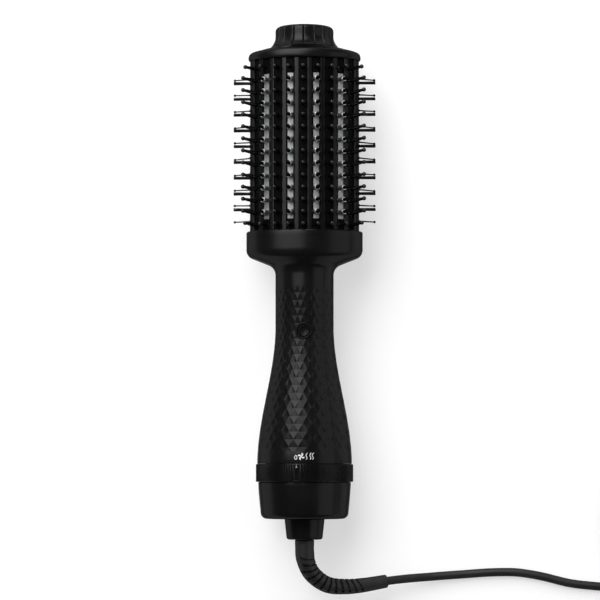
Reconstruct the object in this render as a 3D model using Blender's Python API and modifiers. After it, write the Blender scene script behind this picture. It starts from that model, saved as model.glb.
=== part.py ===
"""Hot air brush lying on its back: X across, +Y from the cord to the tip, +Z up from the table."""

import math

import bmesh
import bpy
from mathutils import Matrix, Vector

# Clearances and running gaps
GAP = 0.0003
FAN_CLEARANCE = 0.0009
OVERRUN = 0.002
WELD = 0.00001

# The stack along the brush, from the cord end to the tip
BOSS_HEIGHT = 0.01435
HOUSING_HEIGHT = 0.0254
RING_HEIGHT = 0.0122
HANDLE_LENGTH = 0.1613
BARREL_LENGTH = 0.1192
FLANGE_HEIGHT = 0.0087
TIP_HEIGHT = 0.0149

# Selector ring
RING_RADIUS = 0.03378
RING_BORE_RADIUS = 0.0273
RING_EDGE = 0.0008
RING_STEPS = 40
INDEX_WIDTH = 0.0050
INDEX_STAND = 0.0009
INDEX_OVERHANG = 0.0002
INDEX_ANGLE = math.radians(-9.7)
SELECTOR_TURN = math.radians(18.5)
LUG_WIDTH = 0.0040
LUG_HEIGHT = 0.0040
LUG_INNER_RADIUS = 0.0200
WIPER_THICKNESS = 0.0004
WIPER_LENGTH = 0.0040
CONTACT_PLATE_THICKNESS = 0.0016
CONTACT_PLATE_WIDTH = 0.0080
CONTACT_PLATE_MARGIN = math.radians(12)

# Bottom housing and the cord boss
HOUSING_RADIUS = 0.0322
HOUSING_FOOT_RADIUS = 0.0305
HOUSING_CORNER = 0.0042
HOUSING_WALL = 0.0024
HUB_RADIUS = 0.0270
HUB_WALL = 0.0024
HUB_RISE = 0.0028
INLET_SLOTS = 8
INLET_SLOT_WIDTH = 0.0022
INLET_INNER_RADIUS = 0.0165
INLET_OUTER_RADIUS = 0.0265
SCREEN_THICKNESS = 0.0010
BOSS_RADIUS = 0.0139
BOSS_END_RADIUS = 0.0126
BOSS_CORNER = 0.0018
BOSS_NECK_RADIUS = 0.0090
BOSS_LIP_RADIUS = 0.0118
BOSS_LIP_HEIGHT = 0.0020
CLAMP_WIDTH = 0.0120
CLAMP_DEPTH = 0.0060
CLAMP_HEIGHT = 0.0070

# Handle shells
HANDLE_RADIUS = 0.0329
NECK_RADIUS = 0.0203
FLARE_LENGTH = 0.0950
HANDLE_WALL = 0.0024
COLLAR_HALF_WIDTH = 0.0406
COLLAR_HALF_DEPTH = 0.0280
COLLAR_HEIGHT = 0.0136
COLLAR_FILLET = 0.0147
COLLAR_EASE = 1.4
FLARE_STEPS = 7
FILLET_STEPS = 6
HALF_STEPS = 10

# Handle screws
SCREW_RADIUS = 0.0015
SCREW_HEAD_RADIUS = 0.0029
SCREW_HEAD_HEIGHT = 0.0018
SCREW_RECESS = 0.0040
SCREW_BITE = 0.0080
BOSS_WALL = 0.0016
LOWER_SCREW_FROM_BUTTON = 0.0250
UPPER_SCREW_FROM_BUTTON = 0.0280

# Push button and its switch
BUTTON_FROM_RING = 0.0918
BUTTON_RADIUS = 0.00405
BUTTON_HEIGHT = 0.0060
BUTTON_DISH = 0.0007
BUTTON_NUB_RADIUS = 0.0005
BUTTON_FLANGE_RADIUS = 0.0054
BUTTON_FLANGE_HEIGHT = 0.0012
BUTTON_TRAVEL = 0.0010
BEZEL_RADIUS = 0.00585
BEZEL_STAND = 0.0002
BEZEL_FLANGE_RADIUS = 0.0074
BEZEL_FLANGE_HEIGHT = 0.0012
STEM_RADIUS = 0.0012
STEM_LENGTH = 0.0040
PLUNGER_RADIUS = 0.0010
PLUNGER_LENGTH = 0.0023
PLUNGER_STAND = 0.0015
SWITCH_WIDTH = 0.0056
SWITCH_HEIGHT = 0.0034
SPRING_RADIUS = 0.0046
SPRING_WIRE = 0.0006
SPRING_TURNS = 3
BOARD_WIDTH = 0.0220
BOARD_LENGTH = 0.0340
BOARD_THICKNESS = 0.0016
POST_RADIUS = 0.0015
POST_INSET = 0.0030

# Fan and motor
SHROUD_LENGTH = 0.0350
SHROUD_WALL = 0.0012
MOUNT_FLANGE_HEIGHT = 0.0020
VANES = 5
VANE_THICKNESS = 0.0012
VANE_HEIGHT = 0.0110
MOTOR_RADIUS = 0.0120
MOTOR_LENGTH = 0.0320
MOTOR_COLLAR_WALL = 0.0015
SHAFT_RADIUS = 0.0010
SHAFT_LENGTH = 0.0480
FAN_BLADES = 7
FAN_HUB_RADIUS = 0.0060
FAN_HEIGHT = 0.0085
FAN_FROM_FLANGE = 0.0030
FAN_TO_MOTOR = 0.0020
BLADE_THICKNESS = 0.0010
BLADE_CHORD = 0.0088
BLADE_PITCH = math.radians(38)

# Barrel
BARREL_HALF_WIDTH = 0.03815
BARREL_HALF_DEPTH = 0.0245
RIB_HEIGHT = 0.0008
RIB_WIDTH = 0.0035
STRIP_THICKNESS = 0.0012
BARREL_WALL = 0.0018
SPIGOT_LENGTH = 0.0060
SPIGOT_WALL = 0.0012
COLUMNS = 22
FRONT_COLUMNS = 4
SIDE_STEPS = 7
BORE_STEPS = 2 * HALF_STEPS
VENT_HALF_HEIGHT = 0.0048
VENT_MARGIN = 0.0120
SLIT_WIDTH = 0.0011

# Bristles, all of three sides
PIN_PITCH = 0.0084
FIRST_PIN_BELOW_FLANGE = 0.0067
LAST_PIN_ABOVE_HANDLE = 0.0030
PIN_ROOT_RADIUS = 0.00145
PIN_TIP_RADIUS = 0.00095
OUTER_PIN_LENGTH = 0.0151
FRONT_FAN_ANGLES = [math.radians(angle) for angle in (0, 9.5, 16, 30, 44)]
REAR_FAN_ANGLES = [math.radians(angle) for angle in (0, 9.5, 16, 24, 27)]
SLEEVE_ROOT_RADIUS = 0.0021
SLEEVE_TOP_RADIUS = 0.0017
SLEEVE_HEIGHT = 0.0055
PIN_SIDES = 3
SLEEVE_SIDES = 3
THIN_PIN_PITCH = 0.0111
FIRST_THIN_PIN_BELOW_FLANGE = 0.0115
THIN_PIN_ROOT_RADIUS = 0.0008
THIN_PIN_TIP_RADIUS = 0.0006
TUFT_PITCH = 0.0111
FIRST_TUFT_BELOW_FLANGE = 0.0142
LAST_TUFT_ABOVE_HANDLE = 0.0150
TUFT_STRANDS = 3
TUFT_SPREAD = 0.0007
TUFT_ROOT_RADIUS = 0.00045
TUFT_TIP_RADIUS = 0.00055
SIDE_REACH = 0.0497
ROOT_SINK = 0.0008

# Flange and cool tip
FLANGE_HALF_WIDTH = 0.0393
FLANGE_HALF_DEPTH = 0.0263
FLANGE_PLATE = 0.0024
FLANGE_WALL = 0.0020
TIP_RADIUS = 0.0204
TIP_FLARE = 0.0043
TIP_FLARE_HEIGHT = 0.0075
TIP_FLARE_EASE = 2.2
TIP_CORNER = 0.0026
TIP_CORNER_HEIGHT = 0.0030
TIP_GROOVES = 18
GROOVE_DEPTH = 0.0007
GROOVE_WIDTH = 0.0013
TIP_SCREW_LENGTH = 0.0110
FLARE_RINGS = 4
CORNER_RINGS = 3

# Heater
MICA_WALL = 0.0008
MICA_PLATE = 0.0010
MICA_END_GAP = 0.0030
HEATER_LENGTH = 0.0950
HEATER_END_LENGTH = 0.0080
WAIST_HALF_WIDTH = 0.0240
WAIST_HALF_DEPTH = 0.0110
ELEMENT_WIRE = 0.0012
ELEMENT_TURNS = 4
ELEMENT_POINTS = 10
CUTOUT_RADIUS = 0.0030
CUTOUT_LENGTH = 0.0120

# Lead: strain relief, cord, coil, tie and plug
CORD_RADIUS = 0.0030
RELIEF_LENGTH = 0.0820
RELIEF_RADIUS = 0.0067
RELIEF_END_RADIUS = 0.0046
RELIEF_POINTS = 15
CORD_STEP = 0.0125
COIL_MEAN_RADIUS = 0.0360
COIL_TURNS = 6.25
COIL_PITCH = 0.00645
LOOP_POINTS = 22
LEAD_OUT = 0.0450
TIE_THICKNESS = 0.0010
TIE_WIDTH = 0.0060
PLUG_LENGTH = 0.0360
PLUG_WIDTH = 0.0260
PLUG_DEPTH = 0.0137
PLUG_NECK_RADIUS = 0.0042
PLUG_PIN_RADIUS = 0.0020
PLUG_PIN_LENGTH = 0.0190
PLUG_PIN_SPACING = 0.0186

# The lead's route from the boss: across, along, and how high above the table
ROUTE = [
    (0.0, 0.0, 0.0337),
    (0.0, -0.0060, 0.0336),
    (0.0004, -0.0130, 0.0331),
    (0.0048, -0.0231, 0.0310),
    (0.0150, -0.0311, 0.0275),
    (0.0273, -0.0333, 0.0235),
    (0.0420, -0.0325, 0.0185),
    (0.0573, -0.0303, 0.0137),
    (0.0715, -0.0292, 0.0094),
    (0.0865, -0.0284, 0.0060),
    (0.1000, -0.0276, 0.0042),
    (0.1116, -0.0266, 0.0034),
    (0.1290, -0.0249, 0.0030),
    (0.1456, -0.0242, 0.0030),
    (0.1570, -0.0251, 0.0030),
    (0.1683, -0.0270, 0.0030),
    (0.1853, -0.0309, 0.0030),
    (0.2024, -0.0329, 0.0030),
    (0.2101, -0.0333, 0.0030),
    (0.2240, -0.0335, 0.0032),
    (0.2400, -0.0335, 0.0040),
    (0.2500, -0.0335, 0.0043),
    (0.2560, -0.0335, 0.0043),
]

# Places that follow from the sizes above
LENGTH = (
    BOSS_HEIGHT + HOUSING_HEIGHT + RING_HEIGHT + HANDLE_LENGTH
    + BARREL_LENGTH + FLANGE_HEIGHT + TIP_HEIGHT + 5 * GAP
)
BOSS_END = -LENGTH / 2
HOUSING_BOTTOM = BOSS_END + BOSS_HEIGHT
RING_BOTTOM = HOUSING_BOTTOM + HOUSING_HEIGHT + GAP
RING_TOP = RING_BOTTOM + RING_HEIGHT
HANDLE_BOTTOM = RING_TOP + GAP
HANDLE_TOP = HANDLE_BOTTOM + HANDLE_LENGTH
BARREL_BOTTOM = HANDLE_TOP + GAP
BARREL_TOP = BARREL_BOTTOM + BARREL_LENGTH
FLANGE_BOTTOM = BARREL_TOP + GAP
TIP_BOTTOM = FLANGE_BOTTOM + FLANGE_HEIGHT + GAP
AXIS_HEIGHT = RING_RADIUS * math.cos(math.pi / RING_STEPS)
HUB_TOP = RING_TOP + HUB_RISE
MOUNT_BOTTOM = HUB_TOP + GAP
BUTTON_Y = RING_TOP + BUTTON_FROM_RING
LOWER_SCREW_Y = BUTTON_Y - LOWER_SCREW_FROM_BUTTON
UPPER_SCREW_Y = BUTTON_Y + UPPER_SCREW_FROM_BUTTON
STRIP_DEPTH = RIB_HEIGHT + STRIP_THICKNESS + GAP
BORE_HALF_WIDTH = BARREL_HALF_WIDTH - STRIP_DEPTH - BARREL_WALL
BORE_HALF_DEPTH = BARREL_HALF_DEPTH - STRIP_DEPTH - BARREL_WALL
PIN_LENGTH = AXIS_HEIGHT - BARREL_HALF_DEPTH + RIB_HEIGHT

ALONG_BRUSH = (-math.pi / 2, 0, 0)
UPRIGHT = (0, 0, 0)


# Scene, collections and materials


def clear_scene():
    for thing in list(bpy.data.objects):
        bpy.data.objects.remove(thing)


def add_collection(name):
    collection = bpy.data.collections.new(name)
    bpy.context.scene.collection.children.link(collection)
    return collection


def add_material(name, colour, roughness, metallic=0.0):
    material = bpy.data.materials.new(name)
    material.use_nodes = True
    shader = material.node_tree.nodes["Principled BSDF"]
    shader.inputs["Base Color"].default_value = (*colour, 1)
    shader.inputs["Roughness"].default_value = roughness
    shader.inputs["Metallic"].default_value = metallic
    return material


clear_scene()
PARTS = add_collection("hot_air_brush")
CUTTERS = add_collection("cutters")
SATIN_BLACK = add_material("satin_black_plastic", (0.014, 0.014, 0.015), 0.42)
GLOSS_BLACK = add_material("gloss_black_plastic", (0.010, 0.010, 0.011), 0.18)
HEAT_PLATE = add_material("silver_heat_plate", (0.42, 0.42, 0.43), 0.35, 0.9)
SOFT_BLACK = add_material("soft_black_pvc", (0.016, 0.016, 0.017), 0.55)
NYLON = add_material("black_nylon_bristle", (0.008, 0.008, 0.009), 0.3)
STEEL = add_material("zinc_plated_steel", (0.55, 0.55, 0.56), 0.3, 1.0)
BRASS = add_material("nickel_plated_brass", (0.62, 0.58, 0.48), 0.25, 1.0)
MICA = add_material("mica_sheet", (0.55, 0.47, 0.33), 0.5)
BOARD_GREEN = add_material("circuit_board", (0.02, 0.14, 0.06), 0.4)
ELEMENT = add_material("resistance_wire", (0.30, 0.28, 0.26), 0.4, 1.0)
MESH_GREY = add_material("filter_mesh", (0.08, 0.08, 0.08), 0.6)


# Ways of making a piece


def place(name, mesh, material, location=(0, 0, 0), rotation=UPRIGHT):
    mesh.materials.append(material)
    thing = bpy.data.objects.new(name, mesh)
    thing.location = location
    thing.rotation_euler = rotation
    PARTS.objects.link(thing)
    return thing


def tool(name, mesh, location=(0, 0, 0), rotation=UPRIGHT):
    """A solid that only cuts or joins another one."""
    thing = bpy.data.objects.new(name, mesh)
    thing.location = location
    thing.rotation_euler = rotation
    thing.hide_render = True
    thing.display_type = "WIRE"
    CUTTERS.objects.link(thing)
    return thing


def apply_boolean(target, operation, other):
    modifier = target.modifiers.new(operation.title(), "BOOLEAN")
    modifier.operation = operation
    modifier.solver = "EXACT"
    modifier.object = other


def cut(target, *others):
    for other in others:
        apply_boolean(target, "DIFFERENCE", other)


def join(target, *others):
    for other in others:
        apply_boolean(target, "UNION", other)


def finish_mesh(solid, name, smooth_under=math.radians(35)):
    """Turns a bmesh into a mesh that is shaded smooth between its sharp edges."""
    mesh = bpy.data.meshes.new(name)
    solid.to_mesh(mesh)
    solid.free()
    mesh.shade_smooth()
    mesh.set_sharp_from_angle(angle=smooth_under)
    return mesh


def turned_mesh(name, profile, steps, closed=True):
    """A profile of (radius, height) points, down its outer side first, spun by a Screw modifier."""
    turn = Matrix.Rotation(math.pi / steps, 4, "Z")
    points = [turn @ Vector((radius, 0, height)) for radius, height in profile]
    edges = [(i, i + 1) for i in range(len(points) - 1)]
    if closed:
        edges.append((len(points) - 1, 0))
    mesh = bpy.data.meshes.new(name)
    mesh.from_pydata(points, edges, [])
    return mesh


def spin(thing, steps):
    screw = thing.modifiers.new("Screw", "SCREW")
    screw.steps = steps
    screw.render_steps = steps
    screw.use_merge_vertices = True
    screw.merge_threshold = WELD


def turned(name, profile, steps, material, location, rotation=ALONG_BRUSH, closed=True):
    thing = place(name, turned_mesh(name, profile, steps, closed), material, location, rotation)
    spin(thing, steps)
    return thing


def rod_mesh(name, radius, length, steps, end_radius=None):
    """A round bar from the origin up +Z."""
    solid = bmesh.new()
    bmesh.ops.create_cone(
        solid,
        cap_ends=True,
        segments=steps,
        radius1=radius,
        radius2=radius if end_radius is None else end_radius,
        depth=length,
        matrix=Matrix.Translation((0, 0, length / 2)) @ Matrix.Rotation(math.pi / steps, 4, "Z"),
    )
    return finish_mesh(solid, name)


def box_mesh(name, low, high):
    low = Vector(low)
    high = Vector(high)
    solid = bmesh.new()
    matrix = Matrix.Translation((low + high) / 2) @ Matrix.Diagonal((*(high - low), 1))
    bmesh.ops.create_cube(solid, size=1, matrix=matrix)
    return finish_mesh(solid, name)


def curve_to_mesh(name, curve):
    """The mesh of a filled curve, with its loose caps welded on."""
    holder = bpy.data.objects.new(name, curve)
    bpy.context.scene.collection.objects.link(holder)
    graph = bpy.context.evaluated_depsgraph_get()
    mesh = bpy.data.meshes.new_from_object(holder.evaluated_get(graph))
    bpy.data.objects.remove(holder)
    solid = bmesh.new()
    solid.from_mesh(mesh)
    bmesh.ops.remove_doubles(solid, verts=solid.verts, dist=WELD)
    bmesh.ops.recalc_face_normals(solid, faces=solid.faces)
    return finish_mesh(solid, name)


def slab_mesh(name, outlines, thickness):
    """Flat outlines of (x, up) points, extruded half the thickness each way along the brush."""
    curve = bpy.data.curves.new(name, "CURVE")
    curve.dimensions = "2D"
    curve.fill_mode = "BOTH"
    curve.extrude = thickness / 2
    for outline in outlines:
        spline = curve.splines.new("POLY")
        spline.points.add(len(outline) - 1)
        for point, (x, up) in zip(spline.points, outline):
            point.co = (x, -up, 0, 1)
        spline.use_cyclic_u = True
    return curve_to_mesh(name, curve)


def slab(name, outlines, low_y, high_y, material):
    mesh = slab_mesh(name, outlines, high_y - low_y)
    return place(name, mesh, material, (0, (low_y + high_y) / 2, AXIS_HEIGHT), ALONG_BRUSH)


def slab_tool(name, outlines, low_y, high_y):
    mesh = slab_mesh(name, outlines, high_y - low_y)
    return tool(name, mesh, (0, (low_y + high_y) / 2, AXIS_HEIGHT), ALONG_BRUSH)


def loft_mesh(name, rings, around=True, ends="caps"):
    """Skins rings of points. Ends are capped, joined to each other, or left open."""
    solid = bmesh.new()
    grid = [[solid.verts.new(point) for point in ring] for ring in rings]
    count = len(grid[0])
    pairs = list(zip(grid, grid[1:]))
    if ends == "joined":
        pairs.append((grid[-1], grid[0]))
    for lower, upper in pairs:
        for j in range(count if around else count - 1):
            k = (j + 1) % count
            solid.faces.new((lower[j], upper[j], upper[k], lower[k]))
    if ends == "caps":
        solid.faces.new(grid[0])
        solid.faces.new(grid[-1])
    if around:
        bmesh.ops.recalc_face_normals(solid, faces=solid.faces)
    return finish_mesh(solid, name)


def tube(name, points, radii, material, resolution):
    """A round bar through points, with its own radius at each."""
    curve = bpy.data.curves.new(name, "CURVE")
    curve.dimensions = "3D"
    curve.bevel_depth = 1
    curve.bevel_resolution = resolution
    curve.use_fill_caps = True
    curve.render_resolution_u = 0
    spline = curve.splines.new("POLY")
    spline.points.add(len(points) - 1)
    for point, place_at, radius in zip(spline.points, points, radii):
        point.co = (*place_at, 1)
        point.radius = radius
    mesh = curve_to_mesh(name, curve)
    return place(name, mesh, material)


def ellipse(half_width, half_depth, steps, turn=0.0):
    return [
        (
            half_width * math.cos(turn + 2 * math.pi * i / steps),
            half_depth * math.sin(turn + 2 * math.pi * i / steps),
        )
        for i in range(steps)
    ]


def smooth(share):
    return share * share * (3 - 2 * share)


# The barrel's oval, walked by arc length from the front centre towards +X


class Oval:
    """Points on the barrel's oval by distance walked, as (x, up) with the outward direction."""

    STEPS = 4000

    def __init__(self, half_width, half_depth):
        self.half_width = half_width
        self.half_depth = half_depth
        self.walked = [0.0]
        last = (0.0, half_depth)
        for i in range(1, self.STEPS + 1):
            here = self.at_turn(2 * math.pi * i / self.STEPS)
            self.walked.append(self.walked[-1] + math.dist(last, here))
            last = here
        self.length = self.walked[-1]

    def at_turn(self, turn):
        return (self.half_width * math.sin(turn), self.half_depth * math.cos(turn))

    def at(self, distance, sunk=0.0):
        """The point, sunk under the surface, and the outward angle from +Z towards +X."""
        distance %= self.length
        low, high = 0, self.STEPS
        while high - low > 1:
            middle = (low + high) // 2
            if self.walked[middle] > distance:
                high = middle
            else:
                low = middle
        share = (distance - self.walked[low]) / (self.walked[high] - self.walked[low])
        turn = 2 * math.pi * (low + share) / self.STEPS
        x, up = self.at_turn(turn)
        angle = math.atan2(x / self.half_width**2, up / self.half_depth**2)
        return x - sunk * math.sin(angle), up - sunk * math.cos(angle), angle


OVAL = Oval(BARREL_HALF_WIDTH, BARREL_HALF_DEPTH)
COLUMN_PITCH = OVAL.length / COLUMNS
SLOT_WIDTH = COLUMN_PITCH - RIB_WIDTH


# Handle


def handle_radius(y):
    """The round part's radius, from the flared lower end to the neck."""
    share = min(max((y - HANDLE_BOTTOM) / FLARE_LENGTH, 0), 1)
    return HANDLE_RADIUS + (NECK_RADIUS - HANDLE_RADIUS) * smooth(share)


def collar_growth(y):
    """How far the section has grown from the neck, 0, to the collar, 1."""
    foot = HANDLE_TOP - COLLAR_HEIGHT - COLLAR_FILLET
    share = min(max((y - foot) / COLLAR_FILLET, 0), 1)
    return smooth(share**COLLAR_EASE)


def handle_depth(y):
    """Half of the handle's depth from front to back, anywhere along it."""
    return handle_radius(y) + (COLLAR_HALF_DEPTH - NECK_RADIUS) * collar_growth(y)


def handle_sections():
    """(y, half width, half depth) from the ring to the lip that the barrel stands on."""
    sections = []
    for i in range(FLARE_STEPS + 1):
        y = HANDLE_BOTTOM + FLARE_LENGTH * i / FLARE_STEPS
        sections.append((y, handle_radius(y), handle_radius(y)))
    foot = HANDLE_TOP - COLLAR_HEIGHT - COLLAR_FILLET
    sections.append((foot, NECK_RADIUS, NECK_RADIUS))
    for i in range(1, FILLET_STEPS + 1):
        y = foot + COLLAR_FILLET * i / FILLET_STEPS
        half_width = NECK_RADIUS + (COLLAR_HALF_WIDTH - NECK_RADIUS) * collar_growth(y)
        sections.append((y, half_width, handle_depth(y)))
    sections.append((HANDLE_TOP, COLLAR_HALF_WIDTH, COLLAR_HALF_DEPTH))
    spigot_width = BORE_HALF_WIDTH + SPIGOT_WALL + 2 * GAP
    spigot_depth = BORE_HALF_DEPTH + SPIGOT_WALL + 2 * GAP
    sections.append((HANDLE_TOP, spigot_width, spigot_depth))
    return sections


def handle_shell(name, side):
    """Half of the handle: side is +1 for the front and -1 for the rear."""
    rings = []
    for y, half_width, half_depth in handle_sections():
        outline = ellipse(half_width, half_depth, 2 * HALF_STEPS)
        rings.append([(x, y, up) for x, up in outline])
    shell = place(name, loft_mesh(name, rings, ends="open"), SATIN_BLACK, (0, 0, AXIS_HEIGHT))
    solidify = shell.modifiers.new("Solidify", "SOLIDIFY")
    solidify.thickness = HANDLE_WALL
    solidify.offset = -1
    solidify.use_even_offset = True
    reach = COLLAR_HALF_WIDTH + OVERRUN
    other = box_mesh(
        "other_half",
        (-reach, HANDLE_BOTTOM - OVERRUN, -reach),
        (reach, HANDLE_TOP + OVERRUN, GAP / 2),
    )
    rotation = UPRIGHT if side > 0 else (0, math.pi, 0)
    cut(shell, tool("other_half", other, (0, 0, AXIS_HEIGHT), rotation))
    return shell


def wall_middle(x, y):
    """Height over the axis of the middle of the handle's wall."""
    return math.sqrt((handle_depth(y) - HANDLE_WALL / 2) ** 2 - x * x)


def make_handle():
    front = handle_shell("handle_front_shell", 1)
    rear = handle_shell("handle_rear_shell", -1)
    hole = rod_mesh("button_hole", BEZEL_RADIUS + 2 * GAP, NECK_RADIUS, 20)
    cut(front, tool("button_hole", hole, (0, BUTTON_Y, AXIS_HEIGHT + NECK_RADIUS / 2)))
    boss_radius = SCREW_HEAD_RADIUS + GAP + BOSS_WALL
    for name, y in (("lower", LOWER_SCREW_Y), ("upper", UPPER_SCREW_Y)):
        wall = wall_middle(0, y)
        skin = AXIS_HEIGHT - handle_depth(y)
        head_seat = skin + SCREW_RECESS + SCREW_HEAD_HEIGHT
        tip = AXIS_HEIGHT + SCREW_BITE
        front_boss = rod_mesh("front_boss", SCREW_RADIUS + GAP + BOSS_WALL, wall - GAP / 2, 16)
        join(front, tool("front_boss_" + name, front_boss, (0, y, AXIS_HEIGHT + GAP / 2)))
        rear_boss = rod_mesh("rear_boss", boss_radius, wall - GAP / 2, 20)
        join(rear, tool("rear_boss_" + name, rear_boss, (0, y, AXIS_HEIGHT - wall)))
        bore = rod_mesh("screw_bore", SCREW_RADIUS + GAP, SCREW_BITE + GAP + OVERRUN, 12)
        cut(front, tool("front_bore_" + name, bore, (0, y, AXIS_HEIGHT - OVERRUN)))
        deep = rod_mesh("screw_pass", SCREW_RADIUS + GAP, handle_depth(y) + OVERRUN, 12)
        cut(rear, tool("rear_bore_" + name, deep, (0, y, skin)))
        sink_depth = head_seat - skin + OVERRUN
        sink = rod_mesh("screw_sink", SCREW_HEAD_RADIUS + GAP, sink_depth, 16)
        cut(rear, tool("screw_sink_" + name, sink, (0, y, head_seat - sink_depth)))
        head_top = head_seat - GAP
        profile = [
            (0, tip),
            (SCREW_RADIUS, tip),
            (SCREW_RADIUS, head_top),
            (SCREW_HEAD_RADIUS, head_top),
            (SCREW_HEAD_RADIUS, head_top - SCREW_HEAD_HEIGHT),
            (0, head_top - SCREW_HEAD_HEIGHT),
        ]
        turned("handle_screw_" + name, profile, 12, STEEL, (0, y, 0), UPRIGHT, closed=False)
    board_top = AXIS_HEIGHT + board_height()
    for side in (-1, 1):
        for end in (-1, 1):
            x = side * (BOARD_WIDTH / 2 - POST_INSET)
            y = BUTTON_Y + end * (BOARD_LENGTH / 2 - POST_INSET)
            height = AXIS_HEIGHT + wall_middle(x, y) - board_top - GAP
            post = rod_mesh("board_post", POST_RADIUS, height, 10)
            join(front, tool("board_post", post, (x, y, board_top + GAP)))


# Push button


def button_levels():
    """Heights over the axis of the button's faces, from the crown down."""
    crown = NECK_RADIUS
    bezel_top = NECK_RADIUS + BEZEL_STAND
    flange_top = crown - BUTTON_HEIGHT
    flange_bottom = flange_top - BUTTON_FLANGE_HEIGHT
    stem_end = flange_bottom - STEM_LENGTH
    return crown, bezel_top, flange_top, flange_bottom, stem_end


def switch_top():
    return button_levels()[4] - GAP - PLUNGER_STAND


def board_height():
    """Height over the axis of the control board's upper face."""
    return switch_top() - SWITCH_HEIGHT - GAP


def make_button():
    at = (0, BUTTON_Y, AXIS_HEIGHT)
    crown, bezel_top, flange_top, flange_bottom, stem_end = button_levels()
    inner = BUTTON_RADIUS + GAP
    seat = flange_top + GAP
    bezel = [
        (BEZEL_RADIUS - BEZEL_STAND, bezel_top),
        (BEZEL_RADIUS, bezel_top - BEZEL_STAND),
        (BEZEL_RADIUS, seat + BEZEL_FLANGE_HEIGHT),
        (BEZEL_FLANGE_RADIUS, seat + BEZEL_FLANGE_HEIGHT),
        (BEZEL_FLANGE_RADIUS, seat),
        (inner, seat),
        (inner, bezel_top - BEZEL_STAND),
        (inner + BEZEL_STAND, bezel_top),
    ]
    turned("button_bezel", bezel, 20, SATIN_BLACK, at, UPRIGHT)
    button = [
        (0, crown),
        (BUTTON_NUB_RADIUS, crown - BUTTON_NUB_RADIUS / 2),
        (2 * BUTTON_NUB_RADIUS, crown - BUTTON_DISH),
        (BUTTON_RADIUS / 2, crown - BUTTON_DISH * 0.8),
        (BUTTON_RADIUS * 0.88, crown),
        (BUTTON_RADIUS, crown - BUTTON_DISH / 2),
        (BUTTON_RADIUS, flange_top),
        (BUTTON_FLANGE_RADIUS, flange_top),
        (BUTTON_FLANGE_RADIUS, flange_bottom),
        (STEM_RADIUS, flange_bottom),
        (STEM_RADIUS, stem_end),
        (0, stem_end),
    ]
    turned("push_button", button, 16, GLOSS_BLACK, at, UPRIGHT, closed=False)
    plunger_top = stem_end - GAP
    plunger = rod_mesh("switch_plunger", PLUNGER_RADIUS, PLUNGER_LENGTH, 12)
    plunger_bottom = plunger_top - PLUNGER_LENGTH
    place("switch_plunger", plunger, SATIN_BLACK, (0, BUTTON_Y, AXIS_HEIGHT + plunger_bottom))
    half = SWITCH_WIDTH / 2
    top = switch_top()
    body = box_mesh("microswitch", (-half, -half, top - SWITCH_HEIGHT), (half, half, top))
    microswitch = place("microswitch", body, SATIN_BLACK, at)
    bore_depth = top - plunger_bottom + BUTTON_TRAVEL + GAP
    bore = rod_mesh("plunger_bore", PLUNGER_RADIUS + GAP, bore_depth + OVERRUN, 12)
    cut(microswitch, tool("plunger_bore", bore, (0, BUTTON_Y, AXIS_HEIGHT + top - bore_depth)))
    board_top = board_height()
    board = box_mesh(
        "control_board",
        (-BOARD_WIDTH / 2, -BOARD_LENGTH / 2, board_top - BOARD_THICKNESS),
        (BOARD_WIDTH / 2, BOARD_LENGTH / 2, board_top),
    )
    place("control_board", board, BOARD_GREEN, at)
    low = board_top + GAP + SPRING_WIRE / 2
    high = flange_bottom - GAP - SPRING_WIRE / 2
    count = SPRING_TURNS * 9
    points = []
    for i in range(count + 1):
        turn = 2 * math.pi * SPRING_TURNS * i / count
        height = low + (high - low) * i / count
        offset = (SPRING_RADIUS * math.cos(turn), SPRING_RADIUS * math.sin(turn), height)
        points.append(Vector(at) + Vector(offset))
    tube("button_spring", points, [SPRING_WIRE / 2] * len(points), STEEL, 0)


# Selector ring with its contacts


def sector(inner, outer, first, last, steps=6):
    """An arc-shaped outline; angles are from the top towards +X."""
    turns = [first + (last - first) * i / steps for i in range(steps + 1)]
    outline = [(outer * math.sin(turn), outer * math.cos(turn)) for turn in turns]
    outline += [(inner * math.sin(turn), inner * math.cos(turn)) for turn in reversed(turns)]
    return outline


def ring_levels():
    """The lug's lower and upper faces, the wiper's lower face and the contact plate's faces."""
    middle = (RING_BOTTOM + RING_TOP) / 2
    lug_low = middle - LUG_HEIGHT / 2
    lug_high = middle + LUG_HEIGHT / 2
    wiper_low = lug_low - GAP - WIPER_THICKNESS
    plate_high = wiper_low - GAP
    plate_low = plate_high - CONTACT_PLATE_THICKNESS
    return lug_low, lug_high, wiper_low, plate_high, plate_low


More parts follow.
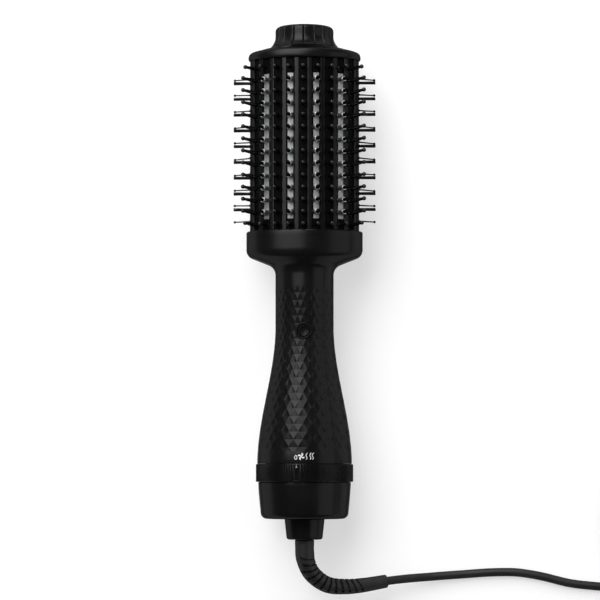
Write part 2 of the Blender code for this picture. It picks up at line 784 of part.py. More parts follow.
def make_selector():
    height = RING_HEIGHT
    profile = [
        (RING_RADIUS - RING_EDGE, height),
        (RING_RADIUS, height - RING_EDGE),
        (RING_RADIUS, RING_EDGE),
        (RING_RADIUS - RING_EDGE, 0),
        (RING_BORE_RADIUS, 0),
        (RING_BORE_RADIUS, height),
    ]
    base = (0, RING_BOTTOM, AXIS_HEIGHT)
    ring = turned("selector_ring", profile, RING_STEPS, SATIN_BLACK, base)
    wall_middle_radius = (RING_RADIUS + RING_BORE_RADIUS) / 2
    half_turn = INDEX_WIDTH / RING_RADIUS / 2
    index = sector(
        wall_middle_radius,
        RING_RADIUS + INDEX_STAND,
        INDEX_ANGLE - half_turn,
        INDEX_ANGLE + half_turn,
    )
    index_low = RING_BOTTOM - INDEX_OVERHANG / 2
    index_high = RING_TOP + INDEX_OVERHANG / 2
    join(ring, slab_tool("index_block", [index], index_low, index_high))
    lug_low, lug_high, wiper_low, plate_high, plate_low = ring_levels()
    lug_turn = LUG_WIDTH / HUB_RADIUS / 2
    lug = sector(LUG_INNER_RADIUS, wall_middle_radius, -lug_turn, lug_turn, 2)
    join(ring, slab_tool("drive_lug", [lug], lug_low, lug_high))
    wiper_outer = LUG_INNER_RADIUS + WIPER_LENGTH
    wiper = sector(LUG_INNER_RADIUS, wiper_outer, -lug_turn, lug_turn, 2)
    slab("wiper_contact", [wiper], wiper_low, wiper_low + WIPER_THICKNESS, BRASS)
    plate_outer = HUB_RADIUS - HUB_WALL - GAP
    plate = sector(
        plate_outer - CONTACT_PLATE_WIDTH,
        plate_outer,
        -lug_turn - CONTACT_PLATE_MARGIN,
        SELECTOR_TURN + lug_turn + CONTACT_PLATE_MARGIN,
        8,
    )
    slab("contact_plate", [plate], plate_low, plate_high, BOARD_GREEN)


# Bottom housing, cord boss and what they hold


def make_housing():
    top = HOUSING_HEIGHT
    hub_top = HUB_TOP - HOUSING_BOTTOM
    inner = HUB_RADIUS - HUB_WALL
    profile = [
        (HUB_RADIUS, hub_top),
        (HUB_RADIUS, top),
        (HOUSING_RADIUS, top),
        (HOUSING_FOOT_RADIUS + HOUSING_CORNER * 0.28, HOUSING_CORNER * 1.6),
    ]
    corner_centre = HOUSING_FOOT_RADIUS - HOUSING_CORNER
    for i in range(4):
        turn = math.pi / 2 * i / 3
        profile.append(
            (
                corner_centre + HOUSING_CORNER * math.cos(turn),
                HOUSING_CORNER * (1 - math.sin(turn)),
            )
        )
    hole = BOSS_NECK_RADIUS + GAP
    profile += [
        (hole, 0),
        (hole, HOUSING_WALL),
        (HOUSING_FOOT_RADIUS - HOUSING_CORNER, HOUSING_WALL),
        (HOUSING_FOOT_RADIUS - HOUSING_WALL, HOUSING_CORNER),
        (HOUSING_RADIUS - HOUSING_WALL, top - 2 * HOUSING_WALL),
        (inner, top - HOUSING_WALL),
        (inner, hub_top),
    ]
    base = (0, HOUSING_BOTTOM, AXIS_HEIGHT)
    housing = turned("bottom_housing", profile, 24, SATIN_BLACK, base)
    lug_low, lug_high, _, _, _ = ring_levels()
    lug_turn = (LUG_WIDTH / 2 + 2 * GAP) / HUB_RADIUS
    window = sector(
        inner - OVERRUN,
        HUB_RADIUS + OVERRUN,
        -lug_turn,
        SELECTOR_TURN + lug_turn,
    )
    cut(housing, slab_tool("lug_window", [window], lug_low - GAP, lug_high + GAP))
    for i in range(INLET_SLOTS):
        turn = 2 * math.pi * i / INLET_SLOTS
        slot = box_mesh(
            "inlet_slot",
            (INLET_INNER_RADIUS, -INLET_SLOT_WIDTH / 2, -OVERRUN),
            (INLET_OUTER_RADIUS, INLET_SLOT_WIDTH / 2, HOUSING_WALL + OVERRUN),
        )
        slot.transform(Matrix.Rotation(turn, 4, "Z"))
        cut(housing, tool("inlet_slot", slot, base, ALONG_BRUSH))
    screen_inner = BOSS_LIP_RADIUS + GAP
    screen_outer = HOUSING_FOOT_RADIUS - HOUSING_CORNER - GAP
    screen_low = HOUSING_WALL + GAP
    screen = [
        (screen_outer, screen_low + SCREEN_THICKNESS),
        (screen_outer, screen_low),
        (screen_inner, screen_low),
        (screen_inner, screen_low + SCREEN_THICKNESS),
    ]
    turned("inlet_screen", screen, 24, MESH_GREY, base)


def make_cord_boss():
    lip_low = HOUSING_WALL + GAP
    lip_high = lip_low + BOSS_LIP_HEIGHT
    bore = CORD_RADIUS + GAP
    profile = [
        (BOSS_LIP_RADIUS, lip_high),
        (BOSS_LIP_RADIUS, lip_low),
        (BOSS_NECK_RADIUS, lip_low),
        (BOSS_NECK_RADIUS, -GAP),
        (BOSS_RADIUS, -GAP),
    ]
    corner_centre = BOSS_END_RADIUS - BOSS_CORNER
    for i in range(4):
        turn = math.pi / 2 * i / 3
        profile.append(
            (
                corner_centre + BOSS_CORNER * math.cos(turn),
                BOSS_CORNER * (1 - math.sin(turn)) - BOSS_HEIGHT,
            )
        )
    profile += [(bore, -BOSS_HEIGHT), (bore, lip_high)]
    turned("cord_boss", profile, 24, SATIN_BLACK, (0, HOUSING_BOTTOM, AXIS_HEIGHT))
    clamp_low = HOUSING_BOTTOM + lip_high + GAP
    clamp = box_mesh(
        "cord_clamp",
        (-CLAMP_WIDTH / 2, clamp_low, AXIS_HEIGHT - CLAMP_HEIGHT / 2),
        (CLAMP_WIDTH / 2, clamp_low + CLAMP_DEPTH, AXIS_HEIGHT + CLAMP_HEIGHT / 2),
    )
    block = place("cord_clamp", clamp, SATIN_BLACK)
    pass_through = rod_mesh("clamp_bore", bore, CLAMP_DEPTH + 2 * OVERRUN, 16)
    cut(block, tool("clamp_bore", pass_through, (0, clamp_low - OVERRUN, AXIS_HEIGHT), ALONG_BRUSH))


# Fan, motor and their mount


def shroud_radius():
    return handle_radius(MOUNT_BOTTOM + SHROUD_LENGTH) - HANDLE_WALL - 2 * GAP


def make_fan():
    outer = shroud_radius()
    inner = outer - SHROUD_WALL
    flange = handle_radius(MOUNT_BOTTOM + MOUNT_FLANGE_HEIGHT) - HANDLE_WALL - 2 * GAP
    profile = [
        (outer, SHROUD_LENGTH),
        (outer, MOUNT_FLANGE_HEIGHT),
        (flange, MOUNT_FLANGE_HEIGHT),
        (flange, 0),
        (inner, 0),
        (inner, SHROUD_LENGTH),
    ]
    base = (0, MOUNT_BOTTOM, AXIS_HEIGHT)
    mount = turned("motor_mount", profile, 24, SATIN_BLACK, base)
    fan_low = MOUNT_BOTTOM + FAN_FROM_FLANGE
    motor_low = fan_low + FAN_HEIGHT + FAN_TO_MOTOR
    collar_inner = MOTOR_RADIUS + GAP
    collar_outer = collar_inner + MOTOR_COLLAR_WALL
    vane_low = MOUNT_BOTTOM + SHROUD_LENGTH - VANE_HEIGHT
    collar = [
        (collar_outer, VANE_HEIGHT),
        (collar_outer, 0),
        (collar_inner, 0),
        (collar_inner, VANE_HEIGHT),
    ]
    ring_mesh = turned_mesh("motor_collar", collar, 24)
    ring = tool("motor_collar", ring_mesh, (0, vane_low, AXIS_HEIGHT), ALONG_BRUSH)
    spin(ring, 24)
    join(mount, ring)
    for i in range(VANES):
        vane = box_mesh(
            "vane",
            (collar_outer - MOTOR_COLLAR_WALL / 2, -VANE_THICKNESS / 2, 0),
            (inner + SHROUD_WALL / 2, VANE_THICKNESS / 2, VANE_HEIGHT - GAP),
        )
        vane.transform(Matrix.Rotation(2 * math.pi * i / VANES, 4, "Z"))
        join(mount, tool("vane", vane, (0, vane_low + GAP / 2, AXIS_HEIGHT), ALONG_BRUSH))
    bore = SHAFT_RADIUS + GAP
    can = [
        (MOTOR_RADIUS, MOTOR_LENGTH),
        (MOTOR_RADIUS, 0),
        (bore, 0),
        (bore, MOTOR_LENGTH),
    ]
    turned("motor_can", can, 24, STEEL, (0, motor_low, AXIS_HEIGHT))
    shaft = rod_mesh("motor_shaft", SHAFT_RADIUS, SHAFT_LENGTH, 12)
    place("motor_shaft", shaft, STEEL, (0, fan_low - GAP, AXIS_HEIGHT), ALONG_BRUSH)
    hub = [
        (FAN_HUB_RADIUS, FAN_HEIGHT),
        (FAN_HUB_RADIUS, 0),
        (bore, 0),
        (bore, FAN_HEIGHT),
    ]
    fan = turned("fan_impeller", hub, 20, SATIN_BLACK, (0, fan_low, AXIS_HEIGHT))
    blade_tip = inner - FAN_CLEARANCE
    for i in range(FAN_BLADES):
        blade = box_mesh(
            "blade",
            ((bore + FAN_HUB_RADIUS) / 2, -BLADE_THICKNESS / 2, -BLADE_CHORD / 2),
            (blade_tip, BLADE_THICKNESS / 2, BLADE_CHORD / 2),
        )
        spin_turn = Matrix.Rotation(2 * math.pi * i / FAN_BLADES, 4, "Z")
        blade.transform(spin_turn @ Matrix.Rotation(BLADE_PITCH, 4, "X"))
        join(fan, tool("blade", blade, (0, fan_low + FAN_HEIGHT / 2, AXIS_HEIGHT), ALONG_BRUSH))


# Barrel, its strips and bristles


def slot_outline():
    """The barrel's outside with a groove for each strip, as (x, up) points."""
    outline = []
    half = SLOT_WIDTH / 2
    stops = list(range(-FRONT_COLUMNS, FRONT_COLUMNS + 1))
    for start in (0, COLUMNS / 2):
        for column in stops:
            middle = (start + column) * COLUMN_PITCH
            x, up, angle = OVAL.at(middle, STRIP_DEPTH)
            across = (math.cos(angle) * half, -math.sin(angle) * half)
            left = OVAL.at(middle - half)
            right = OVAL.at(middle + half)
            outline.append(left[:2])
            outline.append((x - across[0], up - across[1]))
            outline.append((x + across[0], up + across[1]))
            outline.append(right[:2])
        first = (start + FRONT_COLUMNS + 0.5) * COLUMN_PITCH + RIB_WIDTH / 2
        last = (start + COLUMNS / 2 - FRONT_COLUMNS - 0.5) * COLUMN_PITCH - RIB_WIDTH / 2
        outline.append(OVAL.at(first)[:2])
        for i in range(SIDE_STEPS + 1):
            distance = first + (last - first) * i / SIDE_STEPS
            outline.append(OVAL.at(distance, STRIP_DEPTH)[:2])
        outline.append(OVAL.at(last)[:2])
    return outline


def make_barrel():
    bore = ellipse(BORE_HALF_WIDTH, BORE_HALF_DEPTH, BORE_STEPS)
    barrel = slab("barrel_body", [slot_outline(), bore], BARREL_BOTTOM, BARREL_TOP, SATIN_BLACK)
    inner = ellipse(BORE_HALF_WIDTH + GAP, BORE_HALF_DEPTH + GAP, BORE_STEPS)
    wall = SPIGOT_WALL + GAP
    outer = ellipse(BORE_HALF_WIDTH + wall, BORE_HALF_DEPTH + wall, BORE_STEPS)
    spigot_low = BARREL_BOTTOM - GAP - SPIGOT_LENGTH
    spigot = slab_tool("spigot", [outer, inner], spigot_low, BARREL_BOTTOM + RIB_HEIGHT)
    join(barrel, spigot)
    vent = box_mesh(
        "vent",
        (-BARREL_HALF_WIDTH, BARREL_BOTTOM + VENT_MARGIN, AXIS_HEIGHT - VENT_HALF_HEIGHT),
        (BARREL_HALF_WIDTH, BARREL_TOP - VENT_MARGIN, AXIS_HEIGHT + VENT_HALF_HEIGHT),
    )
    cut(barrel, tool("vent", vent))


def row_heights(first_below_flange, pitch, last_above_handle):
    """As many rows as the barrel has room for, from the flange down."""
    room = BARREL_LENGTH - first_below_flange - last_above_handle
    return [BARREL_TOP - first_below_flange - pitch * i for i in range(int(room / pitch) + 1)]


def spikes_mesh(name, heights, tilt, stations, sides):
    """A row of tapered bristles, from (length, radius) pairs, leaning by tilt from local +Z."""
    (low, root), (high, tip) = stations
    solid = bmesh.new()
    lean = Matrix.Rotation(tilt, 4, "Y")
    to_middle = lean @ Matrix.Translation((0, 0, (low + high) / 2))
    for y in heights:
        bmesh.ops.create_cone(
            solid,
            cap_ends=True,
            segments=sides,
            radius1=root,
            radius2=tip,
            depth=high - low,
            matrix=Matrix.Translation((0, y, 0)) @ to_middle,
        )
    return finish_mesh(solid, name)


def make_strip(column, side):
    """The strip in a column, counted from the middle of the front or the rear."""
    start = 0 if side > 0 else COLUMNS / 2
    words = "front" if side > 0 else "rear"
    x, up, angle = OVAL.at((start + side * column) * COLUMN_PITCH, RIB_HEIGHT)
    fans = FRONT_FAN_ANGLES if side > 0 else REAR_FAN_ANGLES
    fan = math.copysign(fans[abs(column)], column)
    direction = fan if side > 0 else math.pi - fan
    tilt = (direction - angle + math.pi) % (2 * math.pi) - math.pi
    metal = abs(column) % 2 == 1
    kind = "heat_strip" if metal else "bristle_strip"
    name = f"{kind}_{words}_{column + FRONT_COLUMNS + 1}"
    half = SLOT_WIDTH / 2 - GAP
    base = box_mesh(
        name,
        (-half, BARREL_BOTTOM, -STRIP_THICKNESS),
        (half, BARREL_TOP, 0),
    )
    location = (x, 0, AXIS_HEIGHT + up)
    rotation = (0, angle, 0)
    strip = place(name, base, HEAT_PLATE if metal else SATIN_BLACK, location, rotation)
    heights = row_heights(FIRST_PIN_BELOW_FLANGE, PIN_PITCH, LAST_PIN_ABOVE_HANDLE)
    if metal:
        sleeve = [(-ROOT_SINK, SLEEVE_ROOT_RADIUS), (SLEEVE_HEIGHT, SLEEVE_TOP_RADIUS)]
        sleeves = spikes_mesh("sleeves", heights[1:-1], tilt, sleeve, SLEEVE_SIDES)
        join(strip, tool("sleeves", sleeves, location, rotation))
    outer = side > 0 and abs(column) == FRONT_COLUMNS
    length = OUTER_PIN_LENGTH if outer else PIN_LENGTH
    stations = [(-ROOT_SINK, PIN_ROOT_RADIUS), (length, PIN_TIP_RADIUS)]
    pins = spikes_mesh("pins", heights, tilt, stations, PIN_SIDES)
    join(strip, tool("pins", pins, location, rotation))


def make_side_strip(side):
    """The curved strip at a narrow side of the barrel, with its tufts and thin pins."""
    middle = COLUMNS / 4 * COLUMN_PITCH
    reach = middle - (FRONT_COLUMNS + 0.5) * COLUMN_PITCH - RIB_WIDTH / 2 - GAP
    distances = [middle - reach + 2 * reach * i / SIDE_STEPS for i in range(SIDE_STEPS + 1)]
    outline = [OVAL.at(distance)[:2] for distance in distances]
    depth = RIB_HEIGHT + STRIP_THICKNESS
    outline += [OVAL.at(distance, depth)[:2] for distance in reversed(distances)]
    outline = [(side * x, up) for x, up in outline]
    name = "side_strip_right" if side > 0 else "side_strip_left"
    strip = slab(name, [outline], BARREL_BOTTOM, BARREL_TOP, SATIN_BLACK)
    for end in (-1, 1):
        x, up, _ = OVAL.at(middle + end * COLUMN_PITCH / 4)
        slit = box_mesh(
            "slit",
            (x - 2 * STRIP_DEPTH, BARREL_BOTTOM + VENT_MARGIN, up - SLIT_WIDTH / 2),
            (x + STRIP_DEPTH, BARREL_TOP - VENT_MARGIN, up + SLIT_WIDTH / 2),
        )
        slit.transform(Matrix.Diagonal((side, 1, 1, 1)))
        if side < 0:
            slit.flip_normals()
        cut(strip, tool("slit", slit, (0, 0, AXIS_HEIGHT)))
    rotation = (0, side * math.pi / 2, 0)
    root = BARREL_HALF_WIDTH
    stations = [(-ROOT_SINK, THIN_PIN_ROOT_RADIUS), (SIDE_REACH - root, THIN_PIN_TIP_RADIUS)]
    heights = row_heights(FIRST_THIN_PIN_BELOW_FLANGE, THIN_PIN_PITCH, LAST_PIN_ABOVE_HANDLE)
    pins = spikes_mesh("thin_pins", heights, 0, stations, PIN_SIDES)
    join(strip, tool("thin_pins", pins, (side * root, 0, AXIS_HEIGHT), rotation))
    heights = row_heights(FIRST_TUFT_BELOW_FLANGE, TUFT_PITCH, LAST_TUFT_ABOVE_HANDLE)
    stations = [(-ROOT_SINK, TUFT_ROOT_RADIUS), (SIDE_REACH - root, TUFT_TIP_RADIUS)]
    for i in range(TUFT_STRANDS):
        turn = 2 * math.pi * i / TUFT_STRANDS
        places = [y + TUFT_SPREAD * math.sin(turn) for y in heights]
        strands = spikes_mesh("strands", places, 0, stations, PIN_SIDES)
        above = AXIS_HEIGHT + TUFT_SPREAD * math.cos(turn)
        join(strip, tool("strands", strands, (side * root, 0, above), rotation))


# Flange and cool tip


def make_flange():
    base_radius = TIP_RADIUS + TIP_FLARE + GAP
    height = FLANGE_HEIGHT
    hole = SCREW_RADIUS + GAP
    sides = [(0.985, 0.0), (1.0, 0.15), (0.99, 0.50), (0.965, 0.66), (0.88, 0.82)]
    sections = []
    for width_share, height_share in sides:
        depth_share = 1 - (1 - width_share) * 0.3
        sections.append(
            (FLANGE_HALF_WIDTH * width_share, FLANGE_HALF_DEPTH * depth_share, height * height_share)
        )
    sections.append((base_radius, base_radius, height))
    sections.append((hole, hole, height))
    sections.append((hole, hole, height - FLANGE_PLATE))
    spigot_width = BORE_HALF_WIDTH - GAP
    spigot_depth = BORE_HALF_DEPTH - GAP
    wall = FLANGE_WALL
    sections.append((base_radius - wall, spigot_depth - wall, height - FLANGE_PLATE))
    sections.append((spigot_width - wall, spigot_depth - wall, 0.0))
    sections.append((spigot_width - wall, spigot_depth - wall, -SPIGOT_LENGTH))
    sections.append((spigot_width, spigot_depth, -SPIGOT_LENGTH))
    sections.append((spigot_width, spigot_depth, 0.0))
    rings = []
    for half_width, half_depth, y in sections:
        ring = ellipse(half_width, half_depth, BORE_STEPS)
        rings.append([(x, y, up) for x, up in ring])
    mesh = loft_mesh("flange_cap", rings, ends="joined")
    place("flange_cap", mesh, SATIN_BLACK, (0, FLANGE_BOTTOM, AXIS_HEIGHT))


def tip_radius(height):
    """The knob's radius: a concave flare at its foot and a rounded shoulder at its end."""
    shoulder = TIP_HEIGHT - TIP_CORNER_HEIGHT
    if height > shoulder:
        rise = (height - shoulder) / TIP_CORNER_HEIGHT
        return TIP_RADIUS - TIP_CORNER * (1 - math.sqrt(max(1 - rise * rise, 0)))
    flare = max(1 - height / TIP_FLARE_HEIGHT, 0)
    return TIP_RADIUS + TIP_FLARE * flare**TIP_FLARE_EASE


def make_tip():
    shoulder = TIP_HEIGHT - TIP_CORNER_HEIGHT
    heights = [TIP_FLARE_HEIGHT * i / FLARE_RINGS for i in range(FLARE_RINGS + 1)]
    for i in range(CORNER_RINGS):
        rise = math.sin(math.pi / 2 * i / (CORNER_RINGS - 1))
        heights.append(shoulder + TIP_CORNER_HEIGHT * rise)
    rings = []
    for height in heights:
        radius = tip_radius(height)
        fade = min(max((TIP_HEIGHT - height) / TIP_CORNER_HEIGHT, 0), 1)
        half_turn = GROOVE_WIDTH / TIP_RADIUS / 2
        ring = []
        for i in range(TIP_GROOVES):
            turn = 2 * math.pi * (i + 0.5) / TIP_GROOVES
            for offset, depth in ((-half_turn, 0), (0, GROOVE_DEPTH), (half_turn, 0)):
                reach = radius - depth * fade
                ring.append((reach * math.cos(turn + offset), height, reach * math.sin(turn + offset)))
        rings.append(ring)
    mesh = loft_mesh("cool_tip", rings)
    tip = place("cool_tip", mesh, SATIN_BLACK, (0, TIP_BOTTOM, AXIS_HEIGHT))
    plate_low = FLANGE_BOTTOM + FLANGE_HEIGHT - FLANGE_PLATE
    head_top = plate_low - GAP
    bite = head_top + TIP_SCREW_LENGTH - TIP_BOTTOM
    bore = rod_mesh("tip_bore", SCREW_RADIUS + GAP, bite + GAP + OVERRUN, 12)
    cut(tip, tool("tip_bore", bore, (0, TIP_BOTTOM - OVERRUN, AXIS_HEIGHT), ALONG_BRUSH))
    profile = [
        (0, TIP_SCREW_LENGTH),
        (SCREW_RADIUS, TIP_SCREW_LENGTH),
        (SCREW_RADIUS, 0),
        (SCREW_HEAD_RADIUS, 0),
        (SCREW_HEAD_RADIUS, -SCREW_HEAD_HEIGHT),
        (0, -SCREW_HEAD_HEIGHT),
    ]
    turned("tip_screw", profile, 12, STEEL, (0, head_top, AXIS_HEIGHT), closed=False)


# Heater


def make_heater():
    outer_width = BORE_HALF_WIDTH - GAP
    outer_depth = BORE_HALF_DEPTH - GAP
    outer = ellipse(outer_width, outer_depth, BORE_STEPS)
    inner = ellipse(outer_width - MICA_WALL, outer_depth - MICA_WALL, BORE_STEPS)
    tube_low = BARREL_BOTTOM + MICA_END_GAP
    tube_high = BARREL_TOP - SPIGOT_LENGTH - MICA_END_GAP
    slab("mica_tube", [outer, inner], tube_low, tube_high, MICA)
    low = tube_low + MICA_END_GAP
    high = low + HEATER_LENGTH
    end_width = outer_width - MICA_WALL - 2 * GAP
    end_depth = outer_depth - MICA_WALL - 2 * GAP

    def plate_outline(waist, end, inset):
        foot, head = low + inset, high - inset
        low_neck, high_neck = foot + HEATER_END_LENGTH, head - HEATER_END_LENGTH
        slope = HEATER_END_LENGTH / 4
        corners = [
            (-end, foot), (end, foot), (end, low_neck - slope), (waist, low_neck),
            (waist, high_neck), (end, high_neck + slope), (end, head), (-end, head),
            (-end, high_neck + slope), (-waist, high_neck),
            (-waist, low_neck), (-end, low_neck - slope),
        ]
        return [(x, -y) for x, y in corners]

    flat = slab_mesh("heater_frame", [plate_outline(WAIST_HALF_WIDTH, end_width, 0)], MICA_PLATE)
    frame = place("heater_frame", flat, MICA, (0, 0, AXIS_HEIGHT))
    fin = plate_outline(WAIST_HALF_DEPTH, end_depth, MICA_PLATE)
    tall = slab_mesh("heater_fin", [fin], MICA_PLATE)
    join(frame, tool("heater_fin", tall, (0, 0, AXIS_HEIGHT), (0, math.pi / 2, 0)))
    half_width = WAIST_HALF_WIDTH + ELEMENT_WIRE / 2 + 2 * GAP
    half_depth = WAIST_HALF_DEPTH + ELEMENT_WIRE / 2 + 2 * GAP
    start = low + HEATER_END_LENGTH + MICA_PLATE + ELEMENT_WIRE
    stop = high - HEATER_END_LENGTH - MICA_PLATE - ELEMENT_WIRE
    count = ELEMENT_TURNS * ELEMENT_POINTS
    points = []
    for i in range(count + 1):
        turn = 2 * math.pi * ELEMENT_TURNS * i / count
        points.append(
            (
                half_width * math.cos(turn),
                start + (stop - start) * i / count,
                AXIS_HEIGHT + half_depth * math.sin(turn),
            )
        )
    tube("heater_coil", points, [ELEMENT_WIRE / 2] * len(points), ELEMENT, 0)
    cutout = rod_mesh("thermal_cutout", CUTOUT_RADIUS, CUTOUT_LENGTH, 16)
    across = MICA_PLATE / 2 + GAP + CUTOUT_RADIUS
    middle = (low + high) / 2 - CUTOUT_LENGTH / 2
    place("thermal_cutout", cutout, STEEL, (across, middle, AXIS_HEIGHT + across), ALONG_BRUSH)


# Lead


def smooth_route(points, fine=24):
    """Points on a smooth curve through the route's own points."""
    points = [Vector(point) for point in points]
    line = [points[0]]
    for i in range(len(points) - 1):
        before = points[max(i - 1, 0)]
        after = points[min(i + 2, len(points) - 1)]
        start, stop = points[i], points[i + 1]
        for j in range(1, fine + 1):
            t = j / fine
            line.append(
                0.5
                * (
                    2 * start
                    + (stop - before) * t
                    + (2 * before - 5 * start + 4 * stop - after) * t * t
                    + (3 * start - before - 3 * stop + after) * t**3
                )
            )
    return line


def walk(line, start, stop, count):
    """Evenly spaced points along a line, from one distance to another."""
    lengths = [0.0]
    for a, b in zip(line, line[1:]):
        lengths.append(lengths[-1] + (b - a).length)
    stop = lengths[-1] if stop is None else stop
    found = []
    i = 0
    for k in range(count):
        distance = start + (stop - start) * k / (count - 1)
        while i < len(lengths) - 2 and lengths[i + 1] < distance:
            i += 1
        share = (distance - lengths[i]) / (lengths[i + 1] - lengths[i])
        found.append(line[i].lerp(line[i + 1], share))
    return found, lengths[-1]


def coil_radius(turns):
    """A spiral in over the lower layer and out again over the upper one."""
    middle = COIL_TURNS / 2
    return COIL_MEAN_RADIUS + COIL_PITCH * (abs(turns - middle) - middle / 2)


def coil_rise(turns):
    """The climb to the upper layer, in the half turn where the spiral reverses."""
    share = min(max(2 * (turns - COIL_TURNS / 2) + 0.5, 0), 1)
    return COIL_PITCH * smooth(share)


def make_lead():
    exit_point = Vector((0, BOSS_END - GAP, 0))
    route = smooth_route([exit_point + Vector(point) for point in ROUTE])
    relief, _ = walk(route, 0, RELIEF_LENGTH, RELIEF_POINTS)
    slimmer = RELIEF_END_RADIUS - RELIEF_RADIUS
    radii = [RELIEF_RADIUS + slimmer * i / (RELIEF_POINTS - 1) for i in range(RELIEF_POINTS)]
    tube("strain_relief", relief, radii, SOFT_BLACK, 3)
    _, total = walk(route, 0, None, 2)
    count = round((total - RELIEF_LENGTH) / CORD_STEP) + 1
    cord, _ = walk(route, RELIEF_LENGTH + GAP, total, count)
    tube("cord", cord, [CORD_RADIUS] * count, SOFT_BLACK, 2)

    join_point = route[-1]
    start_y = join_point.y
    base_z = join_point.z
    straight = 2 * CORD_RADIUS
    centre = Vector((join_point.x + GAP + straight, start_y + coil_radius(0), base_z))
    points = [Vector((join_point.x + GAP, start_y, base_z))]
    steps = round(COIL_TURNS * LOOP_POINTS)
    for i in range(steps + 1):
        turns = COIL_TURNS * i / steps
        angle = 2 * math.pi * turns - math.pi / 2
        radius = coil_radius(turns)
        offset = Vector((radius * math.cos(angle), radius * math.sin(angle), coil_rise(turns)))
        points.append(centre + offset)
    last = points[-1]
    plug_height = PLUG_DEPTH / 2
    for i in range(1, 5):
        share = i / 5
        height = last.z + (plug_height - last.z) * smooth(share)
        points.append(Vector((last.x, last.y + LEAD_OUT * share, height)))
    points.append(Vector((last.x, last.y + LEAD_OUT, plug_height)))
    tube("cord_coil", points, [CORD_RADIUS] * len(points), SOFT_BLACK, 1)
    print("cord length", round(total + length_of(points) + GAP, 4))
    print("coil least gap", round(least_gap(points) - 2 * CORD_RADIUS, 6))

    turns_here = [i + 0.5 for i in range(int(COIL_TURNS))]
    reach = [coil_radius(turns) for turns in turns_here]
    low = Vector((min(reach) - CORD_RADIUS - GAP, base_z - CORD_RADIUS - GAP))
    high = Vector((max(reach) + CORD_RADIUS + GAP, base_z + COIL_PITCH + CORD_RADIUS + GAP))
    t = TIE_THICKNESS
    inside = [(low.x, low.y), (high.x, low.y), (high.x, high.y), (low.x, high.y)]
    outside = [
        (low.x - t, low.y - t), (high.x + t, low.y - t),
        (high.x + t, high.y + t), (low.x - t, high.y + t),
    ]
    band = slab_mesh("cord_tie", [outside, inside], TIE_WIDTH)
    place("cord_tie", band, SOFT_BLACK, (centre.x, centre.y, 0), (-math.pi / 2, 0, math.pi / 2))

    plug_low = last.y + LEAD_OUT + GAP
    shares = [(0.0, 0.0), (0.18, 0.02), (0.45, 0.35), (0.7, 0.85), (0.85, 1.0), (1.0, 0.94)]
    rings = []
    for length_share, growth in shares:
        half_width = PLUG_NECK_RADIUS + (PLUG_WIDTH / 2 - PLUG_NECK_RADIUS) * growth
        half_depth = PLUG_NECK_RADIUS + (PLUG_DEPTH / 2 - PLUG_NECK_RADIUS) * growth
        y = PLUG_LENGTH * length_share
        rings.append([(x, y, up) for x, up in ellipse(half_width, half_depth, 16)])
    place("plug_body", loft_mesh("plug_body", rings), SOFT_BLACK, (last.x, plug_low, plug_height))
    for name, side in (("plug_pin_left", -1), ("plug_pin_right", 1)):
        pin = rod_mesh(name, PLUG_PIN_RADIUS, PLUG_PIN_LENGTH, 12)
        x = last.x + side * PLUG_PIN_SPACING / 2
        place(name, pin, BRASS, (x, plug_low + PLUG_LENGTH + GAP, plug_height), ALONG_BRUSH)


def length_of(points):
    return sum((b - a).length for a, b in zip(points, points[1:]))


def least_gap(points):
    """The least distance between two stretches of a line that are half a loop or more apart."""
    apart = LOOP_POINTS // 2
    least = math.inf
    for i, a in enumerate(points):
        for b in points[i + apart:]:
            least = min(least, (a - b).length)
    return least


make_handle()
make_button()
make_selector()
make_housing()
make_cord_boss()
make_fan()
make_barrel()
for strip_side in (1, -1):
    for strip_column in range(-FRONT_COLUMNS, FRONT_COLUMNS + 1):
        make_strip(strip_column, strip_side)
make_side_strip(1)
make_side_strip(-1)
make_flange()
make_tip()
make_heater()
make_lead()
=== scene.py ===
import math
import random
import bmesh
import bpy
from mathutils import Matrix, Vector


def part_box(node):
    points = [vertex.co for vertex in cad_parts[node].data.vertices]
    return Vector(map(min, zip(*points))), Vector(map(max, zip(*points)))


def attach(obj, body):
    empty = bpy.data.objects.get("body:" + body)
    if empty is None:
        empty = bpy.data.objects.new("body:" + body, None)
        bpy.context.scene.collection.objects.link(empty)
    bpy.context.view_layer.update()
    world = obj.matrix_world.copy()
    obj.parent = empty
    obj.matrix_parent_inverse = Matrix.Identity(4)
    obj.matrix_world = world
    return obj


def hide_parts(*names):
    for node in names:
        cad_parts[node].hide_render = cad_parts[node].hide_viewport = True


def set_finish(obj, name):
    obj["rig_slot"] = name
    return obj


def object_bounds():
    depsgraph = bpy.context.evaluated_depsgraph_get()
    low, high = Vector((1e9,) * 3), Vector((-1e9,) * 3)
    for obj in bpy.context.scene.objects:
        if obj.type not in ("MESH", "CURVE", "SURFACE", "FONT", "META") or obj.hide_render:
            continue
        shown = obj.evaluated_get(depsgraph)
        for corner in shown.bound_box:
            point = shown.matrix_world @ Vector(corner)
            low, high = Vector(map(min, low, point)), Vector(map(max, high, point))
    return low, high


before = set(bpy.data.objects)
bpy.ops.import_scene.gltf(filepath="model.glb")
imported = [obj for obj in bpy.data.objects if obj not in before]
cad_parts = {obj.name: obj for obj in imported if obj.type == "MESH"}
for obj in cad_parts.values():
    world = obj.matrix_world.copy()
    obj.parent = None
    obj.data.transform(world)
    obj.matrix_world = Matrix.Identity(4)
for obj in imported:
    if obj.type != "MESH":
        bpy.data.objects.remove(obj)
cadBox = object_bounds()
mm = 0.001
scene = bpy.context.scene
scene.view_settings.view_transform = "Standard"
print("frame loaded with", len(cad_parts), "nodes")


def millimetres(**sizes):
    return {name: size * mm for name, size in sizes.items()}


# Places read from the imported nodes

def span(node, axis):
    low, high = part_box(node)
    return low[axis], high[axis]


